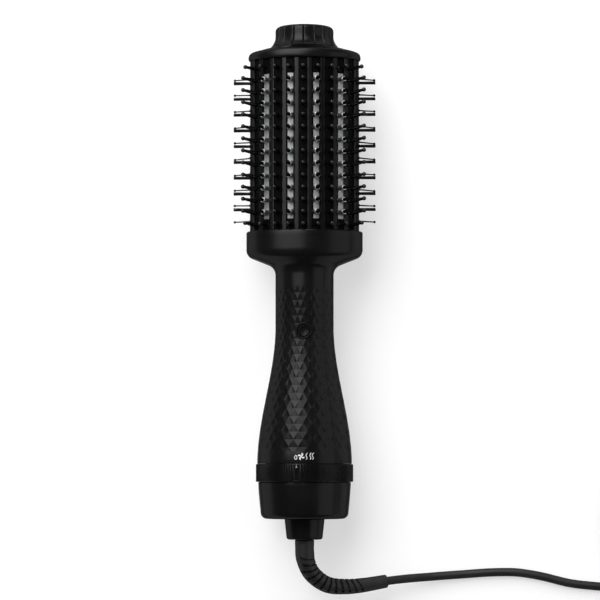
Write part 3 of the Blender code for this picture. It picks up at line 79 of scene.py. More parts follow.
gap = 0.3 * mm
axisHeight = sum(span("cord_boss", 2)) / 2  # the brush lies on its back, its middle line at this height
bossEnd = span("cord_boss", 1)[0]
housingBottom = span("bottom_housing", 1)[0]
handleBottom, handleTop = span("handle_front_shell", 1)
ringTop = handleBottom - gap
barrelBottom, barrelTop = span("bristle_strip_front_5", 1)
flangeBottom = barrelTop + gap
flangeTop = span("flange_cap", 1)[1]
tipBottom, tipTop = span("cool_tip", 1)


def along(x, y, up):
    return Vector((x, y, axisHeight + up))


def around(turn, y, width, depth=None):
    # A point on a circle or an oval round the middle line, the turn counted from the front
    return along(width * math.sin(turn), y, (width if depth is None else depth) * math.cos(turn))


def smooth(share):
    share = min(max(share, 0), 1)
    return share * share * (3 - 2 * share)


def fullTurn(steps):
    return [2 * math.pi * j / steps for j in range(steps)]


def addObject(name, data):
    thing = bpy.data.objects.new(name, data)
    scene.collection.objects.link(thing)
    return thing


def aim(thing, place, away):
    # Cameras and lamps look along their own minus Z
    away = away.normalized()
    right = Vector((0, 1, 0)).cross(away).normalized()
    turn = Matrix((right, away.cross(right), away)).transposed().to_4x4()
    thing.matrix_world = Matrix.Translation(place) @ turn


# Camera: almost straight above, as in the photograph
cameraPlan = {
    "place": Vector((66, -126.95, 1923.7)) * mm,
    "target": Vector((-3.168, -12.39, 33.7)) * mm,
    "sensor": 36.0,
    "pictureWidth": 600,
    "pixelSize": 0.69725 * mm,  # at the height of the target
}


def makeCamera():
    c = cameraPlan
    data = bpy.data.cameras.new("camera")
    view = c["place"] - c["target"]
    data.sensor_width = c["sensor"]
    data.lens = c["sensor"] * view.length / (c["pictureWidth"] * c["pixelSize"])
    data.clip_start, data.clip_end = 0.05, 50
    scene.camera = addObject("camera", data)
    aim(scene.camera, c["place"], view)


makeCamera()
print("camera placed")


# Nodes and colours for the materials

def linear(hexText):
    parts = [int(hexText[i:i + 2], 16) / 255 for i in (1, 3, 5)]
    return (*(p / 12.92 if p <= 0.04045 else ((p + 0.055) / 1.055) ** 2.4 for p in parts), 1.0)


def addNode(tree, kind, inputs=None, stops=(), **settings):
    node = tree.nodes.new(kind)
    for name, value in settings.items():
        setattr(node, name, value)
    for name, value in (inputs or {}).items():
        if isinstance(value, bpy.types.NodeSocket):
            tree.links.new(value, node.inputs[name])
        else:
            node.inputs[name].default_value = value
    for i, (place, colour) in enumerate(stops):
        stop = node.color_ramp.elements[i] if i < 2 else node.color_ramp.elements.new(place)
        stop.position = place
        stop.color = linear(colour)
    return node


def emptyTree(owner):
    owner.use_nodes = True
    owner.node_tree.nodes.clear()
    return owner.node_tree


def startMaterial(name):
    material = bpy.data.materials.new(name)
    tree = emptyTree(material)
    return material, tree, addNode(tree, "ShaderNodeTexCoord").outputs["Object"]


def endMaterial(material, tree, tone, stops, gloss, rough, relief, bump, others, glossRange=(0, 1)):
    # Colour follows the texture tone, roughness the texture gloss, and the bump the texture relief
    colour = addNode(tree, "ShaderNodeValToRGB", {"Fac": tone}, stops)
    roughness = addNode(tree, "ShaderNodeMapRange", {
        "Value": gloss, "From Min": glossRange[0], "From Max": glossRange[1],
        "To Min": rough[0], "To Max": rough[1],
    })
    normal = addNode(tree, "ShaderNodeBump", {"Height": relief, "Strength": bump[0], "Distance": bump[1]})
    surface = addNode(tree, "ShaderNodeBsdfPrincipled", {
        "Base Color": colour.outputs["Color"], "Roughness": roughness.outputs["Result"],
        "Normal": normal.outputs["Normal"], **others,
    })
    addNode(tree, "ShaderNodeOutputMaterial", {"Surface": surface.outputs[0]})
    return material


def moulded(name, grain, patch, dark, pale, rough, bump, specular, ior=1.53):
    # A moulded polymer: fine spark-eroded grain, slow patches in gloss, a little paler where handled
    material, tree, place = startMaterial(name)
    fine = addNode(tree, "ShaderNodeTexNoise", {
        "Vector": place, "Scale": 1 / (grain * mm), "Detail": 4.0, "Roughness": 0.65,
    }).outputs["Fac"]
    patches = addNode(tree, "ShaderNodeTexNoise", {
        "Vector": place, "Scale": 1 / (patch * mm), "Detail": 3.0, "Roughness": 0.55,
    }).outputs["Fac"]
    slant = addNode(tree, "ShaderNodeLayerWeight", {"Blend": 0.5})
    mirror = addNode(tree, "ShaderNodeMapRange", {  # the grain shades itself at a low angle: a dark rim
        "Value": slant.outputs["Facing"], "From Min": 0.2, "From Max": 0.68, "To Min": ior, "To Max": 1.05,
    })
    return endMaterial(material, tree, patches, ((0.35, dark), (0.7, pale)), patches, rough,
                       fine, (bump, grain * mm * 0.1),
                       {"IOR": mirror.outputs["Result"], "Specular IOR Level": specular}, (0.3, 0.7))


def brushed(name, line, length, dark, pale, rough, bump, metallic=1.0):
    # A metal brushed or drawn along Y: long fine lines that widen its shine across them
    material, tree, place = startMaterial(name)
    scale = (1 / (line * mm), 1 / (length * mm), 1 / (line * mm))
    stretched = addNode(tree, "ShaderNodeMapping", {"Vector": place, "Scale": scale})
    lines = addNode(tree, "ShaderNodeTexNoise", {
        "Vector": stretched.outputs["Vector"], "Scale": 1.0, "Detail": 3.0, "Roughness": 0.7,
    }).outputs["Fac"]
    return endMaterial(material, tree, lines, ((0.3, dark), (0.7, pale)), lines, rough,
                       lines, (bump, line * mm * 0.1), {"Metallic": metallic}, (0.3, 0.7))


# ABS, moulded in a finely spark-eroded tool: the satin black of handle, ring, housing, barrel and flange.
# Its grain is nearer 0.05 mm, drawn coarser so that it shows
satinAbs = moulded("satinMouldedAbs", grain=0.35, patch=30, dark="#0c0c0d", pale="#121213",
                   rough=(0.23, 0.28), bump=0.05, specular=0.16)
# ABS from a polished tool: button and its ring, mirroring the lamps softly through a faint flow waviness
glossAbs = moulded("polishedMouldedAbs", grain=1.2, patch=20, dark="#0c0c0d", pale="#101011",
                   rough=(0.36, 0.42), bump=0.05, specular=0.1)
# Nylon, smooth moulded: the bristles and their ball ends, glossy from wear against hair
nylonBristle = moulded("smoothNylonBristle", grain=0.5, patch=6, dark="#080808", pale="#0d0d0e",
                       rough=(0.13, 0.19), bump=0.06, specular=0.4)
# Nylon filament, drawn and cut: a slightly greyer, drier black than the moulded pins
filamentNylon = moulded("cutNylonFilament", grain=0.2, patch=3, dark="#101010", pale="#1c1c1d",
                        rough=(0.35, 0.48), bump=0.15, specular=0.12)
# Soft PVC, extruded and overmoulded: lead, strain relief and plug, a low sheen that scuffs grey
softPvc = moulded("matteSoftPvc", grain=0.45, patch=14, dark="#1b1b1c", pale="#252527",
                  rough=(0.4, 0.5), bump=0.16, specular=0.3, ior=1.54)
# Nylon, moulded in a coarsely eroded tool: the strips that carry the bristles and the pins inside the
# collars, painted darker and without shine as painted shade for these sunk, hidden places
paintedShadeNylon = moulded("stripNylonPaintedShade", grain=0.4, patch=8, dark="#060606", pale="#090909",
                    rough=(0.5, 0.6), bump=0.3, specular=0.03)
# Ink of the index mark, greyed by fingers
wornInk = moulded("wornPaleInk", grain=0.15, patch=0.8, dark="#7c7c7b", pale="#9e9e9c",
                  rough=(0.5, 0.65), bump=0.1, specular=0.2, ior=1.45)
# Silicone ink, pad printed: flat white of the setting symbols, slightly chalky
printedInk = moulded("padPrintedInk", grain=0.15, patch=2, dark="#e2e2e0", pale="#f4f4f2",
                     rough=(0.45, 0.6), bump=0.1, specular=0.3, ior=1.45)
# Polyamide, glass filled and moulded: dull charcoal of the motor mount, fan and clamp inside
filledNylon = moulded("glassFilledNylon", grain=0.3, patch=9, dark="#1d1d1f", pale="#2b2b2e",
                      rough=(0.45, 0.62), bump=0.3, specular=0.4)
# Aluminium, brushed and clear anodised: the heat plates, milky under the oxide, whose layer scatters light.
# Its lines run along the barrel, about 0.05 mm wide and drawn coarser
brushedAluminium = brushed("brushedAnodisedAluminium", line=0.25, length=12, dark="#868788", pale="#a0a1a2",
                           rough=(0.42, 0.52), bump=0.12, metallic=0.4)
# The same sheet where it is drawn up into collars, burnished by the die to a lower roughness; its colour is
# painted paler than the plate's, a painted highlight that makes the rims show bright
paintedHighlightCollarAluminium = brushed("collarAluminiumPaintedHighlight", line=0.3, length=3, dark="#b8b9ba", pale="#dadbdc",
                         rough=(0.24, 0.34), bump=0.05)
# Steel, zinc plated and passivated: screws, spring and cut-out, bluish grey
zincSteel = brushed("zincPlatedSteel", line=0.3, length=2, dark="#8d9094", pale="#b9bdc1",
                    rough=(0.28, 0.42), bump=0.1)
# Brass, nickel plated: plug pins and contacts, warm under the bright plating
nickelBrass = brushed("nickelPlatedBrass", line=0.2, length=6, dark="#b5b0a2", pale="#d9d5c8",
                      rough=(0.18, 0.28), bump=0.06)
# Nickel-chromium resistance wire, drawn and heat stained: brown grey
resistanceWire = brushed("oxidisedResistanceWire", line=0.3, length=4, dark="#5c524a", pale="#8a8078",
                         rough=(0.35, 0.55), bump=0.15)


def boardMaterial():
    # Glass-epoxy board under green solder mask: pale tracks show as faint blocks through it
    material, tree, place = startMaterial("solderMaskedBoard")
    tracks = addNode(tree, "ShaderNodeTexVoronoi", {"Vector": place, "Scale": 1 / (3 * mm)},
                     distance="MANHATTAN").outputs["Distance"]
    weave = addNode(tree, "ShaderNodeTexNoise", {"Vector": place, "Scale": 1 / (0.4 * mm)}).outputs["Fac"]
    return endMaterial(material, tree, tracks, ((0.3, "#2f6a3c"), (0.42, "#1c4a2a")), weave, (0.3, 0.45),
                       tracks, (0.2, 0.05 * mm), {"IOR": 1.5})


def micaMaterial():
    # Mica flakes pressed with resin: pale amber sheet with silvery overlapping flakes
    material, tree, place = startMaterial("pressedMicaSheet")
    flakes = addNode(tree, "ShaderNodeTexVoronoi", {
        "Vector": place, "Scale": 1 / (1.6 * mm),
    }).outputs["Distance"]
    stain = addNode(tree, "ShaderNodeTexNoise", {
        "Vector": place, "Scale": 1 / (8 * mm), "Detail": 4.0,
    }).outputs["Fac"]
    return endMaterial(material, tree, stain, ((0.3, "#9a8768"), (0.65, "#c9bb9b")), flakes, (0.25, 0.6),
                       flakes, (0.3, 0.05 * mm), {"IOR": 1.58})


def screenMaterial():
    # Stainless wire, plain woven: the dust screen, wires 0.8 mm apart as drawn
    material, tree, place = startMaterial("wovenSteelScreen")
    wires = addNode(tree, "ShaderNodeTexChecker", {"Vector": place, "Scale": 1 / (0.8 * mm)}).outputs["Fac"]
    return endMaterial(material, tree, wires, ((0.2, "#26272a"), (0.8, "#8b8e92")), wires, (0.4, 0.6),
                       wires, (0.6, 0.2 * mm), {"Metallic": 0.8})


def strapMaterial():
    # Hook-and-loop tape, woven nylon: black with a napped face
    material, tree, place = startMaterial("wovenNylonTape")
    nap = addNode(tree, "ShaderNodeTexNoise", {
        "Vector": place, "Scale": 1 / (0.5 * mm), "Detail": 5.0,
    }).outputs["Fac"]
    return endMaterial(material, tree, nap, ((0.35, "#0f0f10"), (0.7, "#2c2c2e")), nap, (0.85, 0.85),
                       nap, (0.8, 0.25 * mm), {"Sheen Weight": 0.3})


solderMaskedBoard = boardMaterial()
pressedMica = micaMaterial()
wovenTape = strapMaterial()
print("materials made")


# Carried-over inner nodes keep their CAD shape and take a finish
innerFinishes = (
    (glossAbs, ("switch_plunger",)),
    (filledNylon, ("microswitch", "cord_clamp", "motor_mount", "fan_impeller")),
    (solderMaskedBoard, ("control_board", "contact_plate")),
    (zincSteel, ("button_spring", "motor_can", "motor_shaft", "tip_screw", "thermal_cutout")),
    (nickelBrass, ("wiper_contact",)),
    (screenMaterial(), ("inlet_screen",)),
    (pressedMica, ("mica_tube", "heater_frame")),
    (resistanceWire, ("heater_coil",)),
)


def dressNodes():
    for material, nodes in innerFinishes:
        for node in nodes:
            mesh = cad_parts[node].data
            mesh.materials.clear()
            mesh.materials.append(material)


dressNodes()


# Shapes: points and faces gathered in a dictionary, then made into a piece

def addRings(shape, rings, joined=False):
    start = len(shape["points"])
    count = len(rings[0])
    for ring in rings:
        shape["points"].extend(ring)
    for i in range(len(rings) - (not joined)):
        here = start + i * count
        there = start + (i + 1) % len(rings) * count
        for j in range(count):
            k = (j + 1) % count
            shape["faces"].append((here + j, here + k, there + k, there + j))
    if not joined:
        shape["faces"].append(tuple(range(start + count - 1, start - 1, -1)))
        last = start + (len(rings) - 1) * count
        shape["faces"].append(tuple(range(last, last + count)))
    return shape


def newShape(rings=(), joined=False):
    shape = {"points": [], "faces": []}
    return addRings(shape, rings, joined) if rings else shape


def lathe(profile, steps, place):
    # One ring for each (radius, rise) of the profile; place takes both offsets across and the rise
    turns = fullTurn(steps)
    return [[place(radius * math.cos(t), radius * math.sin(t), rise) for t in turns]
            for radius, rise in profile]


def turnedRings(profile, steps, base):
    return lathe(profile, steps, lambda up, x, y: along(x, base + y, up))


def uprightRings(profile, centre, steps):
    return lathe(profile, steps, lambda x, y, up: centre + Vector((x, y, up)))


def cornerArc(centre, radius, first, last, steps=6):
    turns = [math.radians(first + (last - first) * i / steps) for i in range(steps + 1)]
    return [(centre[0] + radius * math.cos(t), centre[1] + radius * math.sin(t)) for t in turns]


def addRod(shape, root, direction, stations, sides):
    # A round rod along a direction, with a (reach, radius) for each station
    direction = direction.normalized()
    across = direction.cross(Vector((0, 1, 0))).normalized()
    other = direction.cross(across)
    profile = [(radius, reach) for reach, radius in stations]
    addRings(shape, lathe(profile, sides,
                          lambda x, y, reach: root + direction * reach + across * x + other * y))


def barShape(root, out, across, half, low, high, edge, ends):
    # A bar along Y between two ends, from low to high outwards, with its two outer edges broken
    section = [(-half, low), (-half, high - edge), (edge - half, high)]
    section += [(-x, up) for x, up in reversed(section)]
    return newShape([[root + across * x + out * up + Vector((0, y, 0)) for x, up in section] for y in ends])


def boxShape(low, high, turn=Matrix.Identity(4)):
    corners = [(low[0], low[2]), (high[0], low[2]), (high[0], high[2]), (low[0], high[2])]
    return newShape([[turn @ Vector((x, y, z)) for x, z in corners] for y in (low[1], high[1])])


def makePiece(name, shape, material, slot, *nodes, body="brush", sharp=32, weld=True):
    mesh = bpy.data.meshes.new(name)
    mesh.from_pydata([tuple(point) for point in shape["points"]], [], shape["faces"])
    solid = bmesh.new()
    solid.from_mesh(mesh)
    if weld:
        bmesh.ops.remove_doubles(solid, verts=solid.verts, dist=0.0005 * mm)
    bmesh.ops.recalc_face_normals(solid, faces=solid.faces)
    solid.to_mesh(mesh)
    solid.free()
    mesh.shade_smooth()
    mesh.set_sharp_from_angle(angle=math.radians(sharp))
    mesh.materials.append(material)
    piece = addObject(name, mesh)
    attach(piece, body)
    if slot:
        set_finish(piece, slot)
    if nodes:
        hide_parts(*nodes)
    return piece


def cutAway(piece, cutShape, sharp=32):
    cutter = makePiece("cutter", cutShape, piece.data.materials[0], piece["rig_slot"])
    boolean = piece.modifiers.new("cut", "BOOLEAN")
    boolean.operation = "DIFFERENCE"
    boolean.solver = "EXACT"
    boolean.object = cutter
    view = bpy.context.evaluated_depsgraph_get()
    cut = bpy.data.meshes.new_from_object(piece.evaluated_get(view))
    piece.modifiers.clear()
    piece.data = cut
    cut.set_sharp_from_angle(angle=math.radians(sharp))
    bpy.data.objects.remove(cutter)


# Lead: the same route as the CAD's, then the coil, the tie and the plug
leadSizes = millimetres(
    radius=3.0, reliefLength=82, reliefRadius=6.7, reliefEndRadius=4.6, reliefCore=3.6, reliefEdge=0.35,
    slotsFrom=12.5, slotsTo=61.5, slotWidth=1.5, slotEdge=0.05, slotSlant=2.6,
    coilRadius=36, coilPitch=6.45, leadOut=45, plugDepth=13.7, step=2.5,
) | {"sides": 16, "slots": 12, "firstSlot": 0.45, "reliefSides": 48, "reliefSteps": 400,
     "coilTurns": 6.25, "coilSteps": 48, "length": 1.75}
# Millimetres from the boss end, the height from the floor
leadRoute = [
    (0, 0, 33.7), (0, -6, 33.6), (0.4, -13, 33.1), (4.8, -23.1, 31), (15, -30.9, 27.5), (27.3, -32.6, 23.5),
    (42, -31.6, 18.5), (57.3, -29.1, 13.7), (71.5, -27.6, 9.4), (86.5, -26.5, 6), (100, -25.5, 4.2),
    (111.6, -24.7, 3.4), (129, -23.5, 3), (145.6, -23.3, 3), (157, -24.6, 3), (168.3, -26.8, 3),
    (185.3, -30.9, 3), (202.4, -32.9, 3), (210.1, -33.3, 3), (224, -33.5, 3.2), (240, -33.5, 4),
    (250, -33.5, 4.3), (256, -33.5, 4.3),
]


def smoothRoute(points, fine=24):
    line = [points[0]]
    for i in range(len(points) - 1):
        before = points[max(i - 1, 0)]
        start, stop = points[i], points[i + 1]
        after = points[min(i + 2, len(points) - 1)]
        for j in range(1, fine + 1):
            t = j / fine
            curve = 2 * start + (stop - before) * t
            curve += (2 * before - 5 * start + 4 * stop - after) * t * t
            curve += (3 * start - before - 3 * stop + after) * t ** 3
            line.append(curve / 2)
    return line


def walk(line, stations):
    lengths = [0.0]
    for a, b in zip(line, line[1:]):
        lengths.append(lengths[-1] + (b - a).length)
    found = []
    i = 0
    for distance in stations:
        while i < len(lengths) - 2 and lengths[i + 1] < distance:
            i += 1
        share = (distance - lengths[i]) / (lengths[i + 1] - lengths[i])
        found.append(line[i].lerp(line[i + 1], share))
    return found


def coilRadiusAt(turns):
    middle = leadSizes["coilTurns"] / 2
    return leadSizes["coilRadius"] + leadSizes["coilPitch"] * (abs(turns - middle) - middle / 2)


def coilPoints(join):
    sizes = leadSizes
    centre = join + Vector((gap + 2 * sizes["radius"], coilRadiusAt(0), 0))
    points = [join + Vector((gap, 0, 0))]
    steps = round(sizes["coilTurns"] * sizes["coilSteps"])
    for i in range(steps + 1):
        turns = sizes["coilTurns"] * i / steps
        angle = 2 * math.pi * turns - math.pi / 2
        rise = sizes["coilPitch"] * smooth(2 * (turns - sizes["coilTurns"] / 2) + 0.5)
        reach = coilRadiusAt(turns)
        points.append(centre + Vector((reach * math.cos(angle), reach * math.sin(angle), rise)))
    last = points[-1]
    for i in range(1, 11):
        height = last.z + (sizes["plugDepth"] / 2 - last.z) * smooth(i / 10)
        points.append(Vector((last.x, last.y + sizes["leadOut"] * i / 10, height)))
    return points, centre


def sweepFrames(points):
    frames = []
    for i, point in enumerate(points):
        tangent = (points[min(i + 1, len(points) - 1)] - points[max(i - 1, 0)]).normalized()
        across = tangent.cross(Vector((0, 0, 1))).normalized()
        frames.append((point, across, across.cross(tangent)))
    return frames


def reliefStations():
    sizes = leadSizes
    pitch = (sizes["slotsTo"] - sizes["slotsFrom"]) / (sizes["slots"] - 1)
    slots = [sizes["slotsFrom"] + pitch * i for i in range(sizes["slots"])]
    halves = [sizes["slotWidth"] / 2 * (1 if i else sizes["firstSlot"]) for i in range(sizes["slots"])]
    stations = [0.0, 0.4 * mm, 6 * mm]
    for middle, half in zip(slots, halves):
        outer = half + sizes["slotEdge"]
        stations += [middle - outer, middle - half, middle, middle + half, middle + outer, middle + pitch / 2]
    stations.pop()
    total = sizes["reliefLength"]
    stations += [slots[-1] + 5 * mm, total - 8 * mm, total - 0.5 * mm, total]
    return stations, slots, halves


def makeRelief(line):
    # Tapered sleeve, straight out of the boss, with twelve cut windows that let it bend, and a plain end
    sizes = leadSizes
    stations, slots, halves = reliefStations()
    total, steps, margin = sizes["reliefLength"], sizes["reliefSteps"], 3 * mm
    reach = total * 1.1
    frames = sweepFrames(walk(line, [reach * k / steps for k in range(steps + 1)]))
    rings = []
    for s in stations:
        near = [i for i, middle in enumerate(slots) if abs(s - middle) <= halves[i] + 1e-9]
        plain = sizes["reliefRadius"] + (sizes["reliefEndRadius"] - sizes["reliefRadius"]) * s / total
        if s > total - 0.4 * mm or s < 0.2 * mm:
            plain -= sizes["reliefEdge"]
        slant = 0.0
        if slots[0] - margin < s < slots[-1] + margin:
            slant = sizes["slotSlant"] * (2 * (s - slots[0]) / (slots[-1] - slots[0]) - 1)
        ring = []
        for j in range(sizes["reliefSides"]):
            # The turn is 0 on the outside of the bend and 90 degrees on top
            turn = 2 * math.pi * (j + 0.5) / sizes["reliefSides"]
            degrees = math.degrees(turn)
            inner = 68 < degrees < 292  # the window round the inside of the bend
            small = 36 < degrees < 58 or 302 < degrees < 324  # the small windows above and below
            radius = sizes["reliefCore"] if near and (inner or small and near[0] > 1) else plain
            place = min(max(s + slant * math.cos(turn), 0), total * 1.09) / reach * steps
            low = int(place)
            point, across, up = frames[low]
            point = point.lerp(frames[min(low + 1, steps)][0], place - low)
            ring.append(point + (across * math.cos(turn) + up * math.sin(turn)) * radius)
        rings.append(ring)
    return makePiece("strainRelief", newShape(rings), softPvc, "soft_pvc", "strain_relief",
                     sharp=28, weld=False)


def makeCord(points):
    data = bpy.data.curves.new("mainsLead", "CURVE")
    data.dimensions = "3D"
    spline = data.splines.new("POLY")
    spline.points.add(len(points) - 1)
    for place, point in zip(spline.points, points):
        place.co = (*point, 1.0)
    data.bevel_depth = leadSizes["radius"]
    data.bevel_resolution = leadSizes["sides"] // 4 - 1
    data.use_fill_caps = True
    data.materials.append(softPvc)
    cord = addObject("mainsLead", data)
    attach(cord, "brush")
    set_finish(cord, "soft_pvc")
    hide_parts("cord", "cord_coil")
    return cord


tieSizes = millimetres(thickness=1.0, width=6, corner=3.0)


def makeTie(centre):
    # A loop of hook-and-loop tape round the turns, with its overlap on top
    reach = [coilRadiusAt(i + 0.5) for i in range(int(leadSizes["coilTurns"]))]
    room = leadSizes["radius"] + gap
    low = (min(reach) - room, centre.z - room)
    high = (max(reach) + room, centre.z + leadSizes["coilPitch"] + room)
    thick, half, inset = tieSizes["thickness"], tieSizes["width"] / 2, tieSizes["corner"]
    sides = ((low[0] + inset, high[0] - inset), (low[1] + inset, high[1] - inset))
    corners = ((0, 0, 180), (1, 0, 270), (1, 1, 0), (0, 1, 90))
    sections = []
    for radius, x in ((inset, -half), (inset, half), (inset + thick, half), (inset + thick, -half)):
        outline = []
        for i, j, start in corners:
            outline += cornerArc((sides[0][i], sides[1][j]), radius, start, start + 90, 8)
        sections.append([Vector((centre.x + x, centre.y + y, z)) for y, z in outline])
    shape = newShape(sections, joined=True)
    overlap = boxShape(
        (centre.x - half + 0.2 * mm, centre.y + low[0] + 5 * mm, high[1] + thick - 0.1 * mm),
        (centre.x + half - 0.2 * mm, centre.y + high[0] - 4 * mm, high[1] + 1.8 * thick),
    )["points"]
    addRings(shape, [overlap[:4], overlap[4:]])
    return makePiece("leadTie", shape, wovenTape, "soft_pvc", "cord_tie")


plugSizes = millimetres(
    length=36, width=26, neck=4.2, pinRadius=2.0, pinLength=19, pinSpacing=18.6, pinSleeve=9,
    ribFirst=1.2, ribPitch=1.4, ribStand=0.55, ribTaper=0.05, ribDepth=0.5, ribFoot=0.45, ribTop=0.3,
) | {"ribs": 5, "sides": 40, "pinSides": 20,
     "shares": ((0, 0.0), (0.16, 0.02), (0.3, 0.12), (0.45, 0.38), (0.58, 0.66), (0.7, 0.87),
                (0.82, 0.98), (0.9, 1.0), (0.97, 0.97), (1.0, 0.9))}


def makePlug(end):
    p = plugSizes
    base = end.y + gap
    rings = []
    for lengthShare, growth in p["shares"]:
        power = 0.8 if growth > 0.3 else 1.0  # the body is a little squarer than an ellipse
        half = [p["neck"] + (size / 2 - p["neck"]) * growth for size in (p["width"], leadSizes["plugDepth"])]
        ring = []
        for turn in fullTurn(p["sides"]):
            x, z = (math.copysign(abs(part) ** power, part) for part in (math.cos(turn), math.sin(turn)))
            ring.append(Vector((end.x + x * half[0], base + p["length"] * lengthShare, end.z + z * half[1])))
        rings.append(ring)
    shape = newShape(rings)

    def lathed(profile, sides, x, start):
        return lathe(profile, sides, lambda across, up, y: Vector((x + across, start + y, end.z + up)))

    for i in range(p["ribs"]):
        radius = p["neck"] + p["ribStand"] - p["ribTaper"] * i
        foot, top = p["ribFoot"], p["ribTop"]
        inner = radius - p["ribDepth"]
        profile = [(inner, -foot), (radius, -top), (radius, top), (inner, foot)]
        addRings(shape, lathed(profile, p["sides"], end.x, base + p["ribFirst"] + p["ribPitch"] * i))
    pieces = [makePiece("mainsPlug", shape, softPvc, "soft_pvc", "plug_body", sharp=50)]
    radius, length, sleeve = p["pinRadius"], p["pinLength"], p["pinSleeve"]
    sleeveProfile = [(radius - 0.1 * mm, -0.5 * mm), (radius, 0), (radius, sleeve),
                     (radius - 0.2 * mm, sleeve + 0.1 * mm)]
    pinProfile = [(radius - 0.15 * mm, sleeve), (radius - 0.05 * mm, length - 2 * mm),
                  (radius * 0.85, length - 0.8 * mm), (radius * 0.5, length - 0.15 * mm),
                  (radius * 0.1, length)]
    for side, word in ((-1, "left"), (1, "right")):
        x = end.x + side * p["pinSpacing"] / 2
        for kind, material, slot, profile, nodes in (
            ("Sleeve", softPvc, "soft_pvc", sleeveProfile, ()),
            ("Pin", nickelBrass, "nickel_brass", pinProfile, ("plug_pin_" + word,)),
        ):
            pin = newShape(lathed(profile, p["pinSides"], x, base + p["length"]))
            pieces.append(makePiece("plug" + kind + word.capitalize(), pin, material, slot, *nodes))
    return pieces


def makeLead():
    start = Vector((0, bossEnd - gap, 0))
    route = smoothRoute([start + Vector(point) * mm for point in leadRoute])
    total = sum((b - a).length for a, b in zip(route, route[1:]))
    steps = round(total / leadSizes["step"])
    free = walk(route, [total * i / steps for i in range(steps + 1)])
    turns, centre = coilPoints(route[-1])
    relief = makeRelief(route)
    cord = makeCord(free + turns)
    tie = makeTie(centre)
    plug = makePlug(turns[-1])


makeLead()
print("lead made")


# Handle: flared grip with its facets, slim neck and oval collar
handleSizes = millimetres(
    lowerRadius=32.9, neckRadius=20.3, flare=95, wall=2.4, collarHalfWidth=40.6, collarHalfDepth=28.0,
    collarFillet=7.6, collarShoulder=6.5, collarDrop=30.3, collarRise=18,
    lipHalfWidth=35.85, lipHalfDepth=22.2, lipDepth=6.5, lipEnd=8.5, topEdge=1.1, bottomEdge=0.25,
    boreRadius=28.2, boreDepth=4, boreEnd=6,
    rowPitch=5.343, firstRow=6.1, facetSink=0.22, ledge=0.12, seam=0.15,
) | {"collarSlope": 68.6, "cells": 30, "rows": 22, "facetDepth": 1.2, "splits": 6,
     "collarSteps": 36, "wallSteps": 60}


def handleRadius(y):
    h = handleSizes
    return h["lowerRadius"] + (h["neckRadius"] - h["lowerRadius"]) * smooth((y - handleBottom) / h["flare"])


def collarGrowth(y):
    # Share of the way out from neck to collar: a round fillet, a straight slope and a round shoulder
    h = handleSizes
    slope, low, high = math.radians(h["collarSlope"]), h["collarFillet"], h["collarShoulder"]
    total = h["collarHalfWidth"] - h["neckRadius"]
    run, rise = low * (1 - math.cos(slope)), low * math.sin(slope)
    level = rise + (total - run - high * (1 - math.cos(slope))) / math.tan(slope)
    end = level + high * math.sin(slope)
    up = y - (handleTop - h["collarDrop"])
    if up <= 0:
        return 0.0
    if up < rise:
        return (low - math.sqrt(low * low - up * up)) / total
    if up < level:
        return (run + (up - rise) * math.tan(slope)) / total
    if up < end:
        return (total - high + math.sqrt(high * high - (end - up) ** 2)) / total
    return 1.0


def handleHalves(y):
    radius, growth = handleRadius(y), collarGrowth(y)
    return [radius + (handleSizes[key] - handleSizes["neckRadius"]) * growth
            for key in ("collarHalfWidth", "collarHalfDepth")]


def cellPart(turn, band):
    # Share of the way across a facet cell, whose rows are staggered by half a cell
    across = math.degrees(turn) / (360 / handleSizes["cells"]) - 0.5 * (band % 2)
    return across - math.floor(across)


def facetDip(turn, row):
    # Depth under the skin of a lattice of upright rhombi, whose slanted edges stay at the surface
    h = handleSizes
    if row <= 0 or row >= h["rows"]:
        return 0.0
    rise = row - int(row)
    part = cellPart(turn, int(row))
    if abs(part - 0.5) <= (1 - rise) / 2:
        height, offset, sink = 1 - rise, part - 0.5, h["facetSink"]
    else:
        height, offset, sink = rise, part if part < 0.5 else part - 1, 0.0
    if height < 2e-6:
        return 0.0
    fade = smooth(min(row, (h["rows"] - row) / 0.8, 1))
    side = abs(offset / height * 2)
    radius = handleRadius(handleBottom + h["firstRow"] + row * h["rowPitch"])
    chord = radius * (1 - math.cos(math.pi / h["cells"]))
    return fade * height * (h["facetDepth"] * chord * (1 - height * side ** 2) + sink * (1 - side ** 4))


def handleProfile():
    # (kind, y, inset) from the bore at the lower end, up the outside, in over the lip and down the inside
    h = handleSizes
    profile = [("bore", handleBottom, 0)]

    def addEven(start, stop, steps, inset=0, first=1):
        for i in range(first, steps + 1):
            profile.append(("skin", start + (stop - start) * i / steps, inset))

    for inset, rise in cornerArc((h["bottomEdge"], h["bottomEdge"]), h["bottomEdge"], -90, -180, 3):
        profile.append(("skin", handleBottom + rise, inset))
    first = handleBottom + h["firstRow"]
    profile.append(("skin", (handleBottom + h["bottomEdge"] + first) / 2, 0))
    for i in range(h["rows"] * h["splits"] + 1):
        row = i / h["splits"]
        if i and i % h["splits"] == 0:
            profile.append(("facet", first + h["rowPitch"] * row - h["ledge"], row - 1e-4))
        profile.append(("facet", first + h["rowPitch"] * row, row))
    foot = handleTop - h["collarDrop"]
    middle = foot + h["collarRise"]
    edge = h["topEdge"]
    shoulder = handleTop - edge
    addEven(first + h["rows"] * h["rowPitch"], foot, 4)
    addEven(foot, middle, h["collarSteps"])
    addEven(middle, shoulder, 4)
    for inset, rise in cornerArc((edge, 0), edge, 180, 90, 5)[1:]:
        profile.append(("skin", shoulder + rise, inset))
    profile += [("lip", handleTop, 0), ("lip", handleTop - h["lipDepth"], 0)]
    addEven(handleTop - h["lipEnd"], handleBottom + h["boreEnd"], h["wallSteps"], h["wall"], 0)
    profile.append(("bore", handleBottom + h["boreDepth"], 0))
    return profile


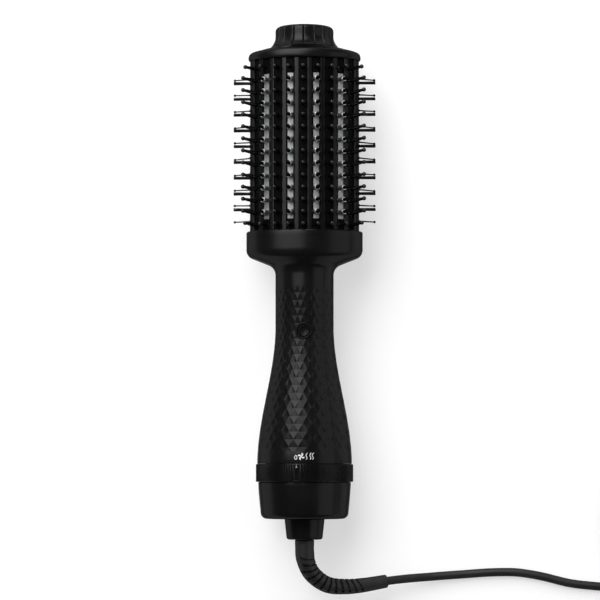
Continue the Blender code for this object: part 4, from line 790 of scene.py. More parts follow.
def handlePoint(kind, y, value, turn):
    h = handleSizes
    if kind == "bore":
        return around(turn, y, h["boreRadius"])
    if kind == "lip":
        return around(turn, y, h["lipHalfWidth"], h["lipHalfDepth"])
    dip = facetDip(turn, value) if kind == "facet" else value
    width, depth = handleHalves(y)
    return around(turn, y, width - dip, depth - dip)


def handleShell(name, side, node):
    h = handleSizes
    profile = handleProfile()
    steps, splits = h["cells"] * h["splits"], h["splits"]
    columns = steps + 1
    first = math.pi / 2 * (-1 if side > 0 else 1)
    shape = newShape()
    for kind, y, value in profile:
        for j in range(columns):
            point = handlePoint(kind, y, value, first + math.pi / steps * j)
            if j in (0, steps):
                point.z = axisHeight + side * h["seam"]
            shape["points"].append(point)
    for i in range(len(profile)):
        k = (i + 1) % len(profile)
        faceted = profile[i][0] == "facet" and profile[k][0] == "facet"
        for j in range(steps):
            a, b = i * columns + j, i * columns + j + 1
            c, d = k * columns + j + 1, k * columns + j
            if not faceted:
                shape["faces"].append((a, b, c, d))
                continue
            band = int((profile[i][2] + profile[k][2]) / 2)
            if cellPart(first + math.pi / steps * (j + 0.5), band) < 0.5:
                shape["faces"] += [(a, b, c), (a, c, d)]
            else:
                shape["faces"] += [(a, b, d), (b, c, d)]
    for j in (0, steps):
        shape["faces"].append(tuple(i * columns + j for i in range(len(profile))))
    shell = makePiece(name, shape, satinAbs, "satin_black", node, weld=False)
    # The facets' borders are sharp: the level ones between rows and the slanted ones within a row
    rows = {i: value for i, (kind, _, value) in enumerate(profile)
            if kind == "facet" and 0.5 < value < h["rows"] - 0.5}
    start = round(math.degrees(first)) * steps // 180
    for edge in shell.data.edges:
        (i, j), (k, m) = (divmod(vertex, columns) for vertex in edge.vertices)
        if i not in rows or k not in rows:
            continue
        if i == k:
            edge.use_edge_sharp = abs(rows[i] - round(rows[i])) < 0.001
        elif j != m:
            band = int((rows[i] + rows[k]) / 2)
            rise = round((rows[i] - band) * splits)
            part = (start + j - splits * (band % 2)) % (2 * splits)
            edge.use_edge_sharp = part in (rise, (2 * splits - rise) % (2 * splits))
    return shell


frontShell = handleShell("handleFront", 1, "handle_front_shell")
rearShell = handleShell("handleRear", -1, "handle_rear_shell")
print("handle made")


# Push button in its ring
buttonSizes = millimetres(
    crown=20.3, radius=4.05, dish=0.8, edge=0.45, skirt=5.0, nub=0.5,
    bezel=5.85, bezelStand=0.35, bezelBore=4.35, bezelFoot=11, hole=6.0, holeFrom=10, holeTo=30,
) | {"y": sum(span("push_button", 1)) / 2}


def makeButton():
    b = buttonSizes
    centre = along(0, b["y"], 0)
    hole = [(b["hole"], b["holeFrom"]), (b["hole"], b["holeTo"])]
    cutAway(frontShell, newShape(uprightRings(hole, centre, 64)))
    edge, crown, nub = b["edge"], b["crown"], b["nub"]
    level = crown + b["bezelStand"] - edge
    profile = [(b["bezel"], b["bezelFoot"]), *cornerArc((b["bezel"] - edge, level), edge, 0, 90),
               *cornerArc((b["bezelBore"] + edge, level), edge, 90, 180), (b["bezelBore"], b["bezelFoot"])]
    bezel = newShape(uprightRings(profile, centre, 64), joined=True)
    makePiece("buttonBezel", bezel, glossAbs, "satin_black", "button_bezel")
    rim = b["radius"] - edge
    profile = [(b["radius"], crown - b["skirt"]), *cornerArc((rim, crown - edge), edge, 0, 90)]
    for i in range(11, 0, -1):
        share = i / 12
        if rim * share > 1.6 * nub:
            profile.append((rim * share, crown - b["dish"] * (1 - share ** 2)))
    floor = crown - b["dish"]
    profile.append((1.5 * nub, floor))
    profile += [(nub * math.cos(t), floor + 0.9 * nub * math.sin(t)) for t in (0.1, 0.5, 1.0, 1.4)]
    button = newShape(uprightRings(profile, centre, 48))
    makePiece("pushButton", button, glossAbs, "gloss_black", "push_button", body="button", sharp=40)


makeButton()


# Screws in the rear shell, in sunk holes
screwSizes = millimetres(
    hole=3.2, head=2.9, headHeight=1.8, cross=0.9, crossReach=1.9, crossDepth=1.1, shank=1.5,
    wellWall=1.4, wellFloor=1.2, wellTop=0.7, holeMargin=3,
)


def makeScrews():
    s = screwSizes
    for word in ("lower", "upper"):
        node = "handle_screw_" + word
        low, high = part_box(node)
        middle = (low.y + high.y) / 2
        centre = along(0, middle, 0)
        skin = -handleHalves(middle)[1]
        seat, end = low.z - axisHeight, high.z - axisHeight
        depth = seat + s["headHeight"]
        hole = [(s["hole"], skin - s["holeMargin"]), (s["hole"], depth)]
        cutAway(rearShell, newShape(uprightRings(hole, centre, 48)))
        outer, inner, loose = s["hole"] + s["wellWall"], s["hole"], s["shank"] + gap
        floor, face = depth + s["wellFloor"], depth + 0.1 * mm
        profile = [(inner, skin + s["wellTop"]), (outer, skin + s["wellFloor"]), (outer, floor),
                   (loose, floor), (loose, face), (inner, face)]
        well = newShape(uprightRings(profile, centre, 48), joined=True)
        makePiece("screwWell" + word.capitalize(), well, satinAbs, "satin_black")
        head, shank = s["head"], s["shank"]
        profile = [(head * 0.6, seat), (head * 0.9, seat + 0.25 * mm), (head, seat + 0.6 * mm), (head, depth),
                   (shank, depth), (shank, end - 1 * mm), (shank * 0.3, end)]
        screw = newShape(uprightRings(profile, centre, 40))
        piece = makePiece("handleScrew" + word.capitalize(), screw, zincSteel, "zinc_steel", node)
        for turn in (45, 135):
            spin = Matrix.Translation(centre) @ Matrix.Rotation(math.radians(turn), 4, "Z")
            reach, half = s["crossReach"], s["cross"] / 2
            cross = boxShape((-reach, -half, seat - 1 * mm), (reach, half, seat + s["crossDepth"]), spin)
            cutAway(piece, cross)


makeScrews()
print("button and screws made")


# Setting symbols, printed: nought, fan, one wave of heat and two
symbolSizes = millimetres(
    up=4.95, stroke=0.62, stand=0.05, noughtWidth=0.85, noughtHeight=1.35, noughtDrop=0.7,
    hub=0.3, hubStroke=0.55, bladeStart=0.55, bladeReach=1.85, bladeEnd=0.2, bladeWidth=0.85,
    waveSpace=0.82, waveBend=0.42, waveLean=0.35, waveHeight=4.5, waveRise=0.2,
) | {"turns": (-8.6, -2.1, 4.4, 10.4), "blades": 4}


def addStroke(shape, line, stroke, turn, closed=False):
    rings = []
    for i, (x, y) in enumerate(line):
        before = line[i - 1] if closed or i > 0 else line[i]
        after = line[(i + 1) % len(line)] if closed or i < len(line) - 1 else line[i]
        dx, dy = after[0] - before[0], after[1] - before[1]
        half = (stroke[i] if isinstance(stroke, list) else stroke) / math.hypot(dx, dy) / 2
        ring = []
        for sign, stand in ((1, 1), (-1, 1), (-1, -2), (1, -2)):
            place = handleBottom + symbolSizes["up"] + y + sign * dx * half
            radius = handleRadius(place) + stand * symbolSizes["stand"]
            ring.append(around(math.radians(turn) + (x - sign * dy * half) / radius, place, radius))
        rings.append(ring)
    addRings(shape, rings, closed)


def makeSymbols():
    s = symbolSizes
    nought, fan, wave, waves = s["turns"]
    shape = newShape()
    oval = [(s["noughtWidth"] * math.cos(t), s["noughtHeight"] * math.sin(t) - s["noughtDrop"])
            for t in fullTurn(28)]
    addStroke(shape, oval, s["stroke"] * 0.7, nought, True)
    for blade in range(s["blades"]):
        line = []
        widths = []
        for share in (i / 8 for i in range(9)):
            reach = s["bladeStart"] + s["bladeReach"] * share
            turn = 2 * math.pi * (blade + 0.4) / s["blades"] + 0.75 * share
            line.append((reach * math.cos(turn), reach * math.sin(turn)))
            widths.append(s["bladeEnd"] + s["bladeWidth"] * math.sin(math.pi * min(share * 0.9 + 0.05, 1)))
        addStroke(shape, line, widths, fan)
    hub = [(s["hub"] * math.cos(t), s["hub"] * math.sin(t)) for t in fullTurn(7)]
    addStroke(shape, hub, s["hubStroke"], fan, True)
    for turn, side in ((wave, 0), (waves, -1), (waves, 1)):
        line = []
        for share in (i / 20 for i in range(21)):
            bend = s["waveBend"] * math.sin(2 * math.pi * share * 1.15) + s["waveLean"] * (share - 0.5)
            line.append((side * s["waveSpace"] + bend, (share - 0.5) * s["waveHeight"] + s["waveRise"]))
        addStroke(shape, line, s["stroke"] * 0.72, turn)
    makePiece("settingSymbols", shape, printedInk, None, weld=False)


makeSymbols()


# Selector ring: fine ribs all round and a raised index block
ringSizes = millimetres(
    radius=33.78, bore=27.3, height=12.2, edge=0.4, ribDepth=0.7, land=0.26, landInset=1.2, landEdge=0.08,
    indexWidth=4.7, indexStand=0.85, indexOverhang=0.1, indexFoot=1.2, indexBevel=0.5, blankMargin=0.3,
    lip=0.6, lipGrowth=0.4, panelDrop=0.6, pointerHalf=0.65, pointerFoot=2.5, pointerTop=0.3,
) | {"ribs": 120, "indexTurn": math.radians(-7.3), "waves": (0.0, 0.0, 0.4, 1.0, 1.0, 0.4)}


def ribbedRings(base):
    r = ringSizes
    radius, edge, height, bore = r["radius"], r["edge"], r["height"], r["bore"]
    top, outer, inner = height + r["land"], radius - r["landInset"], bore + r["landInset"]
    # (radius, height, share of the rib depth)
    profile = [(bore, 0, 0), (radius - edge, 0, 0), (radius - edge * 0.3, edge * 0.3, 0.3),
               (radius, edge, 1), (radius, height / 2, 1), (radius, height - edge, 1),
               (radius - edge * 0.3, height - edge * 0.3, 0.3), (radius - edge, height, 0),
               (outer + r["landEdge"], height, 0), (outer, top, 0), (inner, top, 0),
               (inner - 0.1 * mm, height, 0), (bore, height, 0)]
    blank = (r["indexWidth"] / 2 + r["blankMargin"]) / radius
    rings = []
    for level, y, cut in profile:
        ring = []
        for j, turn in enumerate(fullTurn(r["ribs"] * len(r["waves"]))):
            away = abs((turn - r["indexTurn"] + math.pi) % (2 * math.pi) - math.pi)
            dip = r["ribDepth"] * r["waves"][j % len(r["waves"])] * cut if away > blank else 0
            ring.append(around(turn, base + y, level - dip))
        rings.append(ring)
    return rings


def indexRings(levels, outline, base):
    # Outlines of (sideways, reach) points round the index, for each (y, values) level
    top = ringSizes["radius"] + ringSizes["indexStand"]
    return [[around(ringSizes["indexTurn"] + x / top, base + y, reach) for x, reach in outline(*values)]
            for y, *values in levels]


def makeRing():
    r = ringSizes
    height = r["height"]
    base = ringTop - height
    shape = newShape(ribbedRings(base), joined=True)
    top, half, bevel = r["radius"] + r["indexStand"], r["indexWidth"] / 2, r["indexBevel"]
    low, high, wide, panel = -r["lip"], height + r["indexOverhang"], -r["lipGrowth"], r["panelDrop"]
    # (height, how much narrower, how much lower): the lip, the sunk panel and the rounded upper end
    levels = [(low, wide + 0.3 * mm, 0.3 * mm), (low + 0.3 * mm, wide, 0), (0.6 * mm, wide, 0),
              (0.95 * mm, wide * 0.4, 0), (1.5 * mm, 0, 0), (1.8 * mm, 0, panel * 1.7),
              (high - 1.0 * mm, 0, panel * 0.6), (high - 0.5 * mm, 0, 0.05 * mm),
              (high, 0.35 * mm, 0.35 * mm)]

    def blockOutline(narrow, drop):
        left = narrow - half
        outline = [(left, r["radius"] - r["indexFoot"]), (left, top - bevel - drop * 0.3),
                   (left + bevel * 0.45, top - bevel * 0.25 - drop * 0.4), (left + bevel, top - drop * 0.4),
                   (left + bevel * 1.8, top - drop)]
        return outline + [(-x, up) for x, up in reversed(outline)]

    addRings(shape, indexRings(levels, blockOutline, base))
    makePiece("selectorRing", shape, satinAbs, "satin_black", "selector_ring", body="selector", sharp=30)
    foot, tip = height - r["pointerFoot"], height - r["pointerTop"]
    corners = [(-r["pointerHalf"], foot), (r["pointerHalf"], foot), (0, tip)]
    rings = [[around(r["indexTurn"] + x / top, base + y, reach) for x, y in corners]
             for reach in (top - 0.7 * mm, top - 0.05 * mm)]
    makePiece("indexPointer", newShape(rings), wornInk, None, body="selector")


makeRing()


# Bottom housing with its air inlet, and the cord boss
housingSizes = millimetres(
    topRadius=32.2, footRadius=30.5, corner=4.2, wall=2.4, edge=0.4, step=0.15, hubRadius=27, hubWall=2.4,
    hubRise=2.8, hubEdge=0.3, hole=9.3, slotWidth=2.2, slotInner=16.5, slotOuter=26.5,
) | {"slots": 8, "bulge": 1.25}
bossSizes = millimetres(
    radius=13.9, end=12.6, corner=1.8, edge=0.4, bore=5.2, inner=8, floor=3, lip=0.4, sunk=0.1,
)


def makeHousing():
    h = housingSizes
    height = ringTop - ringSizes["height"] - gap - housingBottom
    edge, corner, wall, top, foot = h["edge"], h["corner"], h["wall"], h["topRadius"], h["footRadius"]
    hub, hubTop, hubEdge = h["hubRadius"], ringTop + h["hubRise"] - housingBottom, h["hubEdge"]
    inner, rim = hub - h["hubWall"], height + h["step"]
    profile = [(inner, hubTop - hubEdge), (inner + hubEdge, hubTop), (hub - hubEdge, hubTop),
               (hub, hubTop - hubEdge), (hub, rim), (top - edge, rim),
               *cornerArc((top - edge, rim - edge), edge, 90, 0, 4)[1:]]
    for share in (i / 8 for i in range(1, 8)):
        profile.append((top - (top - foot) * share ** h["bulge"], height * (1 - share) + corner * share))
    profile += cornerArc((foot - corner, corner), corner, 0, -90, 10)
    profile += [(h["hole"], 0), (h["hole"], wall), (foot - corner, wall), (foot - wall, corner + 1 * mm),
                (top - wall, height - 4 * mm), (inner, height - 2 * mm)]
    shape = newShape(turnedRings(profile, 128, housingBottom), joined=True)
    housing = makePiece("bottomHousing", shape, satinAbs, "satin_black", "bottom_housing")
    half = h["slotWidth"] / 2
    for angle in fullTurn(h["slots"]):
        turn = Matrix.Translation(along(0, housingBottom, 0)) @ Matrix.Rotation(angle, 4, "Y")
        slot = boxShape((h["slotInner"], -2 * mm, -half), (h["slotOuter"], wall + 1 * mm, half), turn)
        cutAway(housing, slot)


def makeBoss():
    b = bossSizes
    top = housingBottom - bossEnd - b["sunk"]
    corner, bore, inner, floor = b["corner"], b["bore"], b["inner"], b["floor"]
    profile = [(inner, top), (b["radius"] - 0.3 * mm, top), (b["radius"], top - b["edge"]),
               *cornerArc((b["end"] - corner, corner), corner, 0, -90, 8),
               (bore + b["lip"], 0), (bore, b["lip"]), (bore, floor), (inner, floor)]
    shape = newShape(turnedRings(profile, 96, bossEnd), joined=True)
    makePiece("cordBoss", shape, satinAbs, "satin_black", "cord_boss")


makeHousing()
makeBoss()
print("ring, housing and boss made")


# Barrel: an oval body with raised ribs, walked by distance from the middle of its front
barrelSizes = millimetres(
    halfWidth=38.15, halfDepth=24.5, ribWidth=3.5, ribHeight=0.8, stripThickness=1.2, ribEdge=0.5, wall=1.8,
    slitWidth=1.1, slitMargin=12,
) | {"columns": 22, "frontColumns": 4, "ovalSteps": 4000}


def ovalTable():
    b = barrelSizes
    walked = [0.0]
    last = (0.0, b["halfDepth"])
    for i in range(1, b["ovalSteps"] + 1):
        turn = 2 * math.pi * i / b["ovalSteps"]
        here = (b["halfWidth"] * math.sin(turn), b["halfDepth"] * math.cos(turn))
        walked.append(walked[-1] + math.dist(last, here))
        last = here
    return walked


ovalWalked = ovalTable()
ovalLength = ovalWalked[-1]
columnPitch = ovalLength / barrelSizes["columns"]


def ovalAt(distance, sunk=0.0):
    b = barrelSizes
    distance %= ovalLength
    low, high = 0, b["ovalSteps"]
    while high - low > 1:
        middle = (low + high) // 2
        if ovalWalked[middle] > distance:
            high = middle
        else:
            low = middle
    share = (distance - ovalWalked[low]) / (ovalWalked[high] - ovalWalked[low])
    turn = 2 * math.pi * (low + share) / b["ovalSteps"]
    x, up = b["halfWidth"] * math.sin(turn), b["halfDepth"] * math.cos(turn)
    angle = math.atan2(x / b["halfWidth"] ** 2, up / b["halfDepth"] ** 2)
    return x - sunk * math.sin(angle), up - sunk * math.cos(angle), angle


def ribOutline(start, floor):
    # Across one raised rib: up its wall, round its edge, over the top and down again
    edge, width = barrelSizes["ribEdge"], barrelSizes["ribWidth"]
    corner = cornerArc((edge, edge), edge, 180, 270, 3)
    places = [(0, floor), *corner, *((width * share, 0) for share in (0.3, 0.5, 0.7)),
              *((width - x, sunk) for x, sunk in reversed(corner)), (width, floor)]
    return [ovalAt(start + x, sunk)[:2] for x, sunk in places]


def makeBarrel():
    b = barrelSizes
    floor = b["ribHeight"] + b["stripThickness"] + gap
    outline = []
    half, count, rib = b["columns"] / 2, b["frontColumns"], b["ribWidth"] / 2
    for start in (0, half):
        for column in range(-count - 1, count + 1):
            outline += ribOutline((start + column + 0.5) * columnPitch - rib, floor)
        first = (start + count + 0.5) * columnPitch + rib
        last = (start + half - count - 0.5) * columnPitch - rib
        outline += [ovalAt(first + (last - first) * i / 12, floor)[:2] for i in range(1, 12)]
    width, depth = b["halfWidth"] - floor - b["wall"], b["halfDepth"] - floor - b["wall"]
    inner = [(width * math.sin(t), depth * math.cos(t)) for t in fullTurn(len(outline))]
    offset = min(range(len(outline)), key=lambda i: math.dist(outline[0], inner[i]))
    inner = inner[offset:] + inner[:offset]
    rings = []
    for line, y in ((outline, barrelBottom), (outline, barrelTop), (inner, barrelTop), (inner, barrelBottom)):
        rings.append([along(x, y, up) for x, up in line])
    makePiece("barrelBody", newShape(rings, joined=True), satinAbs, "satin_black", "barrel_body", sharp=25)


makeBarrel()


# Bristle strips: dark ones, and ones under a heat plate with drawn collars round their pins
pinSizes = millimetres(
    pitch=8.4, first=6.7, length=9.98, ball=1.5, outerLength=15.1, endLength=14.1, root=1.45, neck=0.95,
    sleevedRoot=1.3, sleevedNeck=0.8, fillet=0.45, buried=0.8, stripEdge=0.25,
    plateWidth=4.0, plateThickness=0.3, plateEnd=10.7, plateFoot=7.3, plateBend=0.15, plateSunk=0.1,
    collar=5.5, collarRoot=2.1, collarTop=1.85,
) | {"rows": 14, "fan": (0, 9.5, 16, 30, 44), "rearFan": (0, 9.5, 16, 24, 27), "endLean": 5.5,
     "forward": (0, 0, 1, 3, 4.6), "endForward": 1.5}


def ballStations(length, ball, neck, steps=7):
    first = math.pi - math.asin(neck / ball)
    turns = [first - (first - 0.06) * i / steps for i in range(steps + 1)]
    return [(length - ball + ball * math.cos(t), ball * math.sin(t)) for t in turns]


def pinStations(length, root, neck):
    foot = root + pinSizes["fillet"]
    return [(-pinSizes["buried"], foot), (0, foot), (0.25 * mm, root + 0.15 * mm), (0.8 * mm, root),
            (length * 0.5, (root + neck) / 2), *ballStations(length, pinSizes["ball"], neck)]


def collarStations():
    top, root, high = pinSizes["collarTop"], pinSizes["collarRoot"], pinSizes["collar"]
    outside = ((0.1, 0.55), (0.35, 0.35), (0.75, 0.12), (1.3, 0))
    rim = ((0.45, 0), (0.13, 0.1), (0, 0.36), (0.1, 0.64), (0.45, 0.8), (1.5, 0.84))
    return [(y * mm, root + x * mm) for y, x in outside] + [(high - y * mm, top - x * mm) for y, x in rim]


def makeStrip(column, side):
    b, p = barrelSizes, pinSizes
    tag = ("front" if side > 0 else "rear") + "_" + str(column + b["frontColumns"] + 1)
    title = tag.capitalize().replace("_", "")
    far = abs(column)
    metal = far % 2 == 1
    start = 0 if side > 0 else b["columns"] / 2
    x, up, angle = ovalAt((start + side * column) * columnPitch, b["ribHeight"])
    outer = side > 0 and far == b["frontColumns"]
    out = Vector((math.sin(angle), 0, math.cos(angle)))
    across = Vector((math.cos(angle), 0, -math.sin(angle)))
    root = along(x, 0, up)
    half = (columnPitch - b["ribWidth"]) / 2 - gap
    ends = (barrelBottom, barrelTop)
    shape = barShape(root, out, across, half, -b["stripThickness"], 0, p["stripEdge"], ends)
    # The strip's own faces take the darker nylon: painted shade on the sunk floor between the ribs
    paintedShadeFaces = list(range(len(shape["faces"])))
    pins = []
    for row in range(p["rows"]):
        last = row in (0, p["rows"] - 1)
        end = outer and last
        lean = math.radians(p["fan" if side > 0 else "rearFan"][far] - (p["endLean"] if end else 0))
        lean = math.copysign(lean, column)
        forward = math.radians(p["endForward"] if end and row == 0 else p["forward"][far])
        direction = Vector((math.sin(lean), math.sin(forward), side * math.cos(lean))).normalized()
        base = root + Vector((0, barrelTop - p["first"] - p["pitch"] * row, 0))
        length = p["endLength" if end else "outerLength"] if outer else p["length"]
        thick = (p["sleevedRoot"], p["sleevedNeck"]) if metal else (p["root"], p["neck"])
        before = len(shape["faces"])
        addRod(shape, base, direction, pinStations(length, *thick), 14)
        # Pins inside the collars take it too: painted shade that makes them black
        if metal and not last:
            paintedShadeFaces += range(before, len(shape["faces"]))
            pins.append((base, direction))
    kind, node = ("heatStrip", "heat_strip_") if metal else ("bristleStrip", "bristle_strip_")
    strip = makePiece(kind + title, shape, nylonBristle, "bristle_black", node + tag, weld=False, sharp=38)
    # Second slot: the darker nylon of the painted shade
    strip.data.materials.append(paintedShadeNylon)
    for face in paintedShadeFaces:
        strip.data.polygons[face].material_index = 1
    if not metal:
        return
    half, ends = p["plateWidth"] / 2, (barrelBottom + p["plateFoot"], barrelTop - p["plateEnd"])
    plate = barShape(root, out, across, half, -p["plateSunk"], p["plateThickness"], p["plateBend"], ends)
    makePiece("heatPlate" + title, plate, brushedAluminium, "silver_plate", weld=False, sharp=38)
    collars = newShape()
    for base, direction in pins:
        addRod(collars, base, direction, collarStations(), 20)
    # The collars take the paler aluminium: a painted highlight on their rims
    makePiece("plateCollars" + title, collars, paintedHighlightCollarAluminium, "silver_plate", weld=False, sharp=50)


for stripSide in (1, -1):
    for stripColumn in range(-barrelSizes["frontColumns"], barrelSizes["frontColumns"] + 1):
        makeStrip(stripColumn, stripSide)
print("bristle strips made")


# Side strips: fine ribs and a column of thin pins with tufts between them
sideSizes = millimetres(
    thinPitch=11.1, thinFirst=12.1, thinRadius=0.45, thinBall=0.92, thinFoot=1.2,
    tuftPitch=11.1, tuftFirst=14.9, tuftRadius=1.02, tuftEnd=1.14, filament=0.2, reach=49.7,
    lineWidth=0.5, lineDepth=0.35, slitIn=4, slitOut=2,
) | {"thinLean": -3.5, "thinRows": 10, "tuftRows": 9, "lines": 8}


def addTuft(shape, root, direction, length, draw):
    s = sideSizes
    across = direction.cross(Vector((0, 1, 0))).normalized()
    other = Vector((0, 1, 0))
    spots = [(0, 0)]
    for ring, count in ((1, 6), (2, 12)):
        spots += [(ring / 2, turn + 0.3 * ring) for turn in fullTurn(count)]
    for share, turn in spots:
        offset = across * math.cos(turn) + other * math.sin(turn)
        start = root + offset * (share * (s["tuftRadius"] - s["filament"]))
        stop = root + direction * length + offset * (share * (s["tuftEnd"] - s["filament"]))
        stop += offset * draw.uniform(-0.08, 0.08) * mm + other * draw.uniform(-0.12, 0.12) * mm
        way = stop - start
        size = way.length + draw.uniform(-0.25, 0.0) * mm
        addRod(shape, start, way, [(-0.8 * mm, s["filament"]), (size, s["filament"] * 0.95)], 6)


def makeSideStrip(side):
    b, s = barrelSizes, sideSizes
    draw = random.Random(7 if side > 0 else 11)
    word = "Right" if side > 0 else "Left"
    middle = b["columns"] / 4 * columnPitch
    reach = middle - (b["frontColumns"] + 0.5) * columnPitch - b["ribWidth"] / 2 - gap
    outline = [ovalAt(middle - reach)]
    for i in range(s["lines"]):
        line = middle - reach + 2 * reach * (i + 0.5) / s["lines"]
        for offset, sunk in ((-0.5, 0), (-0.3, 0.85), (0, 1), (0.3, 0.85), (0.5, 0)):
            outline.append(ovalAt(line + offset * s["lineWidth"], sunk * s["lineDepth"]))
    outline.append(ovalAt(middle + reach))
    count, depth = len(outline), b["ribHeight"] + b["stripThickness"]
    outline += [ovalAt(middle + reach - 2 * reach * i / (count - 1), depth) for i in range(count)]
    shape = newShape([[along(side * x, y, up) for x, up, _ in outline] for y in (barrelBottom, barrelTop)])
    node = "side_strip_" + word.lower()
    strip = makePiece("sideStrip" + word, shape, satinAbs, "satin_black", node, weld=False, sharp=30)
    low, high, half = barrelBottom + b["slitMargin"], barrelTop - b["slitMargin"], b["slitWidth"] / 2
    for end in (-1, 1):
        x, up, _ = ovalAt(middle + end * columnPitch / 4)
        near, far = sorted((side * (x - s["slitIn"]), side * (x + s["slitOut"])))
        slit = boxShape((near, low, axisHeight + up - half), (far, high, axisHeight + up + half))
        cutAway(strip, slit, sharp=30)
    pins = newShape()
    root = b["halfWidth"]
    length = s["reach"] - root
    stations = [(-0.8 * mm, s["thinFoot"]), (0, s["thinFoot"]), (0.3 * mm, 0.7 * mm),
                (1.0 * mm, s["thinRadius"] * 1.15), *ballStations(length, s["thinBall"], s["thinRadius"], 6)]
    for i in range(s["thinRows"]):
        lean = math.radians(s["thinLean"] + draw.uniform(-3, 3))
        rise = math.radians(draw.uniform(-3, 3))
        direction = Vector((side * math.cos(lean), math.sin(lean), math.sin(rise)))
        base = along(side * root, barrelTop - s["thinFirst"] - s["thinPitch"] * i, 0)
        addRod(pins, base, direction, stations, 12)
    makePiece("thinPins" + word, pins, nylonBristle, "bristle_black", weld=False, sharp=38)
    tufts = newShape()
    ferrule = [(y * mm, s["tuftRadius"] + x * mm) for y, x in ((-0.5, 0.35), (0.25, 0.3), (0.35, 0.1))]
    for i in range(s["tuftRows"]):
        base = along(side * root, barrelTop - s["tuftFirst"] - s["tuftPitch"] * i, 0)
        addTuft(tufts, base, Vector((side, 0, 0)), length, draw)
        addRod(tufts, base, Vector((side, 0, 0)), ferrule, 20)
    makePiece("tufts" + word, tufts, filamentNylon, "bristle_black", weld=False, sharp=40)


makeSideStrip(1)
makeSideStrip(-1)
print("side strips made")


# Flange and the grooved knob on the end
endSizes = millimetres(
    halfWidth=39.3, halfDepth=26.3, tipRadius=20.4, flare=4.0, flareHeight=8.2, corner=2.6, cornerHeight=3.0,
    grooveDepth=0.7, grooveWidth=1.1, inset=9.0, insetDepth=0.5, rimInset=3, boreWidth=30, boreDepth=18,
    tipClearance=0.05, fadeHeight=1.0,
) | {"flareEase": 2.0, "grooves": 18, "grooveSteps": 20,
     "flangeShares": ((0.94, -0.02), (0.975, 0.0), (0.99, 0.05), (1.0, 0.16), (1.0, 0.3), (0.995, 0.42),
                      (0.985, 0.52), (0.968, 0.6), (0.945, 0.66), (0.915, 0.71), (0.87, 0.76), (0.81, 0.81))}


def makeFlange():
    e = endSizes
    height = flangeTop - flangeBottom
    base = e["tipRadius"] + e["flare"] + gap
    halves = [(e["halfWidth"] * share, e["halfDepth"] * (1 - (1 - share) * 0.5), height * rise)
              for share, rise in e["flangeShares"]]
    width, depth, rise = halves[-1]
    for share in (i / 8 for i in range(1, 9)):
        blend = smooth(share) * 0.35 + share * 0.65
        halves.append((width + (base - width) * blend, depth + (base - depth) * blend,
                       rise + (height - rise) * share ** 0.9))
    rim = base - e["rimInset"]
    halves += [(rim, rim, height), (rim, e["boreDepth"], height - 3 * mm),
               (e["boreWidth"], e["boreDepth"], 0.1 * mm)]
    rings = [[around(t, flangeBottom + y, width, depth) for t in fullTurn(128)] for width, depth, y in halves]
    makePiece("endFlange", newShape(rings, joined=True), satinAbs, "satin_black", "flange_cap", sharp=40)


def tipRadiusAt(height):
    e = endSizes
    rise = min((height - (tipTop - tipBottom)) / e["cornerHeight"] + 1, 1)
    if rise > 0:
        return e["tipRadius"] - e["corner"] * (1 - math.sqrt(max(1 - rise * rise, 0)))
    return e["tipRadius"] + e["flare"] * max(1 - height / e["flareHeight"], 0) ** e["flareEase"]


def makeTip():
    e = endSizes
    total = tipTop - tipBottom
    flare, shoulder, inset = e["flareHeight"], total - e["cornerHeight"], e["inset"]
    levels = [flare * i / 16 for i in range(17)]
    levels += [flare + (shoulder - flare) * i / 4 for i in range(1, 5)]
    levels += [shoulder + e["cornerHeight"] * math.sin(math.pi / 2 * i / 10) for i in range(1, 11)]
    steps = e["grooves"] * e["grooveSteps"]
    rings = []
    for height in levels:
        fade = smooth((total - height) / e["cornerHeight"] / 0.8) * smooth(height / e["fadeHeight"] + 0.6)
        ring = []
        for j, turn in enumerate(fullTurn(steps)):
            part = (j / e["grooveSteps"] + 0.5) % 1 - 0.5
            away = abs(part) * 2 * math.pi / e["grooves"] * e["tipRadius"] / (e["grooveWidth"] / 2)
            dip = e["grooveDepth"] * fade * (1 - smooth(away)) + e["tipClearance"]
            ring.append(around(turn, tipBottom + height, tipRadiusAt(height) - dip))
        rings.append(ring)
    # The shallow round recess in the end face, as radius and depth
    face = [(inset + 0.5 * mm, 0), (inset + 0.1 * mm, 0.1 * mm), (inset, e["insetDepth"]),
            (inset - 0.4 * mm, e["insetDepth"]), (inset - 0.6 * mm, 0.25 * mm), (inset * 0.5, 0.12 * mm),
            (0.4 * mm, 0.1 * mm)]
    rings += turnedRings([(radius, total - depth) for radius, depth in face], steps, tipBottom)
    makePiece("coolTip", newShape(rings), satinAbs, "satin_black", "cool_tip", sharp=35)


makeFlange()
makeTip()
print("flange and tip made")


# Plain pale floor, soft studio lamps
lightPlan = {
    "target": along(0, -20 * mm, 0),
    # Name, direction, distance, size and radiance; the three keys together shade off to their edges
    "lamps": (
        ("key", (-0.424, 0.781, 1.0), 2.3, (2.1, 3.1), 1.7),
        ("keyMiddle", (-0.424, 0.854, 1.0), 2.35, (1.75, 2.88), 1.7),
        ("keyCore", (-0.424, 1.0, 1.0), 2.4, (1.35, 2.45), 2.0),
        ("fill", (0.86, 0.0, 0.5), 2.3, (1.8, 2.6), 0.8),
    ),
    "zenith": 0.12,
    "horizon": 0.3,
    "floorGlow": 0.56,
    "floorColour": "#bcbcbc",
    "floorHalf": 4.0,
    "floorDrop": 0.2 * mm,
}


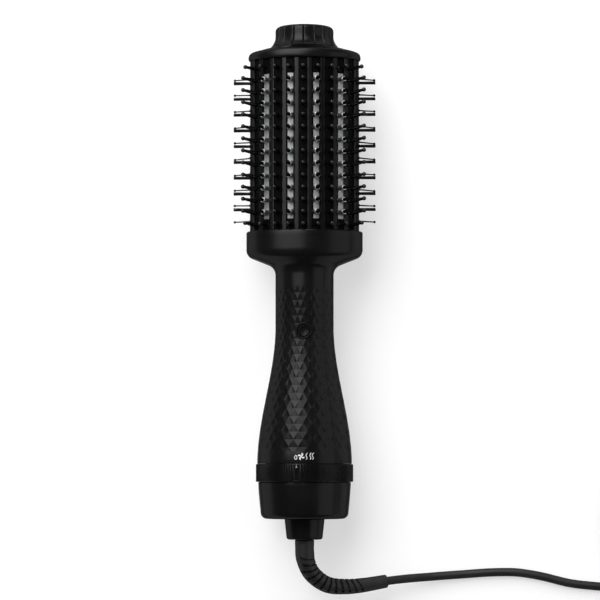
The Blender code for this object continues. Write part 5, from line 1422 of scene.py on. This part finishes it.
def makeLamp(name, direction, distance, size, radiance):
    data = bpy.data.lights.new(name, "AREA")
    data.shape = "RECTANGLE"
    data.size, data.size_y = size
    data.energy = radiance * math.pi * data.size * data.size_y
    lamp = addObject(name, data)
    away = Vector(direction).normalized()
    aim(lamp, lightPlan["target"] + away * distance, away)
    lamp.visible_camera = False


def makeWorld():
    scene.world = bpy.data.worlds.new("studio")
    tree = emptyTree(scene.world)
    direction = addNode(tree, "ShaderNodeTexCoord").outputs["Generated"]
    height = addNode(tree, "ShaderNodeSeparateXYZ", {"Vector": direction}).outputs["Z"]
    level = addNode(tree, "ShaderNodeMapRange", {
        "Value": height, "From Min": 0.02, "From Max": 0.3,
        "To Min": lightPlan["horizon"], "To Max": lightPlan["zenith"],
    })
    light = addNode(tree, "ShaderNodeBackground", {
        "Color": linear("#ffffff"), "Strength": level.outputs["Result"],
    })
    addNode(tree, "ShaderNodeOutputWorld", {"Surface": light.outputs[0]})


def makeFloor():
    half = lightPlan["floorHalf"]
    level = cadBox[0].z - lightPlan["floorDrop"]
    mesh = bpy.data.meshes.new("floor")
    corners = [(-half, -half, level), (half, -half, level), (half, half, level), (-half, half, level)]
    mesh.from_pydata(corners, [], [(0, 1, 2, 3)])
    addObject("floor", mesh)
    material = bpy.data.materials.new("paleStudioFloor")
    tree = emptyTree(material)
    seen = addNode(tree, "ShaderNodeLightPath").outputs
    first = addNode(tree, "ShaderNodeMath", {0: seen["Is Camera Ray"], 1: seen["Is Glossy Ray"]},
                    operation="MAXIMUM")
    both = addNode(tree, "ShaderNodeMath", {0: first.outputs[0], 1: seen["Is Transmission Ray"]},
                   operation="MAXIMUM")
    strength = addNode(tree, "ShaderNodeMath", {0: both.outputs[0], 1: lightPlan["floorGlow"]},
                       operation="MULTIPLY")
    glow = addNode(tree, "ShaderNodeEmission", {"Strength": strength.outputs[0]})
    matte = addNode(tree, "ShaderNodeBsdfDiffuse", {"Color": linear(lightPlan["floorColour"])})
    total = addNode(tree, "ShaderNodeAddShader", {0: glow.outputs[0], 1: matte.outputs[0]})
    addNode(tree, "ShaderNodeOutputMaterial", {"Surface": total.outputs[0]})
    mesh.materials.append(material)


for lamp in lightPlan["lamps"]:
    makeLamp(*lamp)
makeWorld()
makeFloor()
print("studio made")
